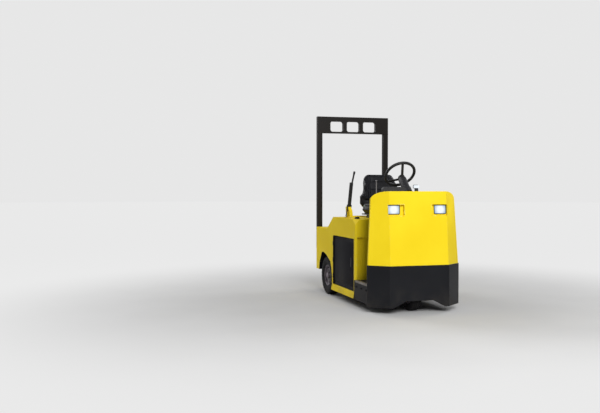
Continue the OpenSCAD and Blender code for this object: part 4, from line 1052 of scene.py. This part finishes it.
CUSHION_PANEL = 0.150
CUSHION_WELT_H = 0.985
cushion = stuff("seat_cushion_cover", "seat_cushion", drawn_in=0.006, swell=0.012)
sew(cushion, [
    lambda p, n: (abs(p.y) - CUSHION_PANEL, facing(n.z)),
    *(channel(0, x, 2, CUSHION_PANEL) for x in (0.150, 0.275)),
    lambda p, n: (p.z - CUSHION_WELT_H, facing(1 - abs(n.z))),
])
cover_pad(cushion, "seat_cushion", floor_h=0.9062)

BACK_PANEL = 0.118
backrest = stuff("seat_backrest_cover", "seat_backrest", drawn_in=0.005, swell=0.011)
sew(backrest, [
    lambda p, n: (abs(p.y) - BACK_PANEL, facing(n.x)),
    *(channel(2, z, 0, BACK_PANEL) for z in (1.075, 1.155, 1.235)),
])
cover_pad(backrest, "seat_backrest", floor_h=0.9565)


# Seat adjuster: a small grey plastic knob with fine flutes. It sits on a pin in the cushion's
# right side, where the driver's hand hangs.
KNOB_FLUTES = 12
grey_knob = coat(
    "grey_knob", (0.13, 0.16, 0.14), (0.19, 0.22, 0.20), (0.28, 0.30, 0.28),
    gloss=0.4, peel=0.2, dust=0.0, bend=0.001,
)
knob = bmesh.new()
side_of_seat = aim((0.155, -0.233, 0.985), (0, -1, 0))
add_lathe(knob, [
    (0, 0), (0.006, 0), (0.006, 0.006), (0.0105, 0.0065), (0.0115, 0.0080), (0.0115, 0.0150),
    (0.0100, 0.0170), (0, 0.0175),
], side_of_seat, 24)
for flute in range(KNOB_FLUTES):
    turn = Matrix.Rotation(math.tau * flute / KNOB_FLUTES, 4, "Z")
    add_block(knob, (0.0108, -0.0010, 0.0080), (0.0124, 0.0010, 0.0150), 0.0004, side_of_seat @ turn)
finish_piece("seat_knob", knob, grey_knob, "seat_lid")


# Hand lever: a yellow toothed quadrant on a base plate bolted to the deck, and a black lever
# that straddles it. The pivot pin has a nut on each side.
dress(["lever_bracket"], yellow_enamel, 0.0012)
dress(["hand_lever"], black_pan, 0.002)

PIN_X, PIN_Z = 0.105, 0.890
BASE_T = 0.005
low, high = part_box("lever_bracket")
middle_y = (low.y + high.y) / 2
pivot = bmesh.new()
for side in (-1, 1):
    add_bolt(pivot, (PIN_X, middle_y + side * 0.0227, PIN_Z), (0, side, 0), across=0.016, head=0.006)
    for x in (0.083, 0.250):
        add_bolt(pivot, (x, middle_y + side * 0.0215, low.z + BASE_T), (0, 0, 1), across=0.009, head=0.005)
finish_piece("lever_bolts", pivot, zinc, "vehicle")


# Guard frame: heavy flat section cut from plate and welded, with three slots through its
# top beam. It stands behind the seat, bolted to the rear body, and is enamelled brown-black.
# The enamel's paler colour along the edges is partly rubbed paint and partly a painted highlight.
guard_enamel = coat(
    "guard_enamel", (0.0072, 0.0056, 0.0047), (0.0112, 0.0086, 0.0072), (0.070, 0.052, 0.040),
    gloss=0.18, peel=0.5, dust=0.0, bend=0.005,
)
dress(["guard_frame"], guard_enamel, 0.004)

POST_Y = 0.4055
low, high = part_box("guard_frame")
bolts = bmesh.new()
for side in (-1, 1):
    for z in (0.520, 0.600, 0.680):
        add_bolt(bolts, (low.x, side * POST_Y, z), (-1, 0, 0), across=0.019, head=0.009)
finish_piece("guard_bolts", bolts, zinc, "vehicle")

BEADS = 14
BEAD_R = 0.0035
BEAD_STEP = 0.0042
WELD_INSET = 0.002
WELD_SUNK = 0.0005
WELD_Z = 1.809
welds = bmesh.new()
for side in (-1, 1):
    for x in (low.x + WELD_SUNK, high.x - WELD_SUNK):
        for bead in range(BEADS):
            spot = (x, side * (high.y - WELD_INSET - BEAD_STEP * bead), WELD_Z)
            bmesh.ops.create_icosphere(
                welds, subdivisions=1, radius=BEAD_R,
                matrix=Matrix.Translation(spot) @ Matrix.Diagonal((0.7, 1.0, 1.0, 1)),
            )
finish_piece("guard_welds", welds, guard_enamel, "vehicle", sharp=80.0)


# Rear lamps: red moulded lenses with upright ribs on black plastic bases. Two screws hold
# each lens, and the bases are fixed to the body's rear wall.
dress(["rear_lamps"], moulded_black, 0.0015)

TAIL_Y = 0.290
TAIL_W, TAIL_H = 0.110, 0.050
RIBS = 7
RIB_SPACING = 0.012
RIB_HALF_W, RIB_HALF_H = 0.0022, 0.019
low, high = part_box("rear_lamp_lenses")
for word, side in SIDES:
    lens, screws = bmesh.new(), bmesh.new()
    stand = aim((high.x, side * TAIL_Y, (low.z + high.z) / 2), (-1, 0, 0))
    add_panel(lens, (TAIL_W, TAIL_H), 0.008, 0.0105, stand, width=0.003)
    for rib in range(RIBS):
        across = RIB_SPACING * (rib - (RIBS - 1) / 2)
        start = (across - RIB_HALF_W, -RIB_HALF_H, 0.008)
        add_block(lens, start, (across + RIB_HALF_W, RIB_HALF_H, 0.0119), 0.0015, stand)
    made = finish_piece("tail_lens_" + word, lens, red_lens, "vehicle")
    for across in (-0.047, 0.047):
        add_lathe(screws, [
            (0, 0.009), (0.0036, 0.009), (0.0034, 0.0112), (0.0014, 0.0118), (0, 0.0112),
        ], stand @ Matrix.Translation((across, 0, 0)), 20)
    finish_piece("tail_screws_" + word, screws, zinc, "vehicle")
    if side < 0:
        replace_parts(made, "rear_lamp_lenses")


# Tow hitch: three thick jaw plates welded to a back plate, bored for the drop pin, and
# bolted through the body to the tail plate. The steel is bare, oily and stained.
hitch_steel = metal("hitch_steel", (0.045, 0.045, 0.047), (0.11, 0.11, 0.11), rough=0.42, grime=0.5)
dress(["tow_hitch"], hitch_steel, 0.003)

HITCH_PLATE_T = 0.014
HITCH_BOLT_Y = 0.072
plate_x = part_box("tow_hitch")[1].x - HITCH_PLATE_T
bolts = bmesh.new()
for side in (-1, 1):
    for z in (0.312, 0.396, 0.480):
        add_bolt(bolts, (plate_x, side * HITCH_BOLT_Y, z), (-1, 0, 0), across=0.019, head=0.009)
finish_piece("hitch_bolts", bolts, zinc, "vehicle")
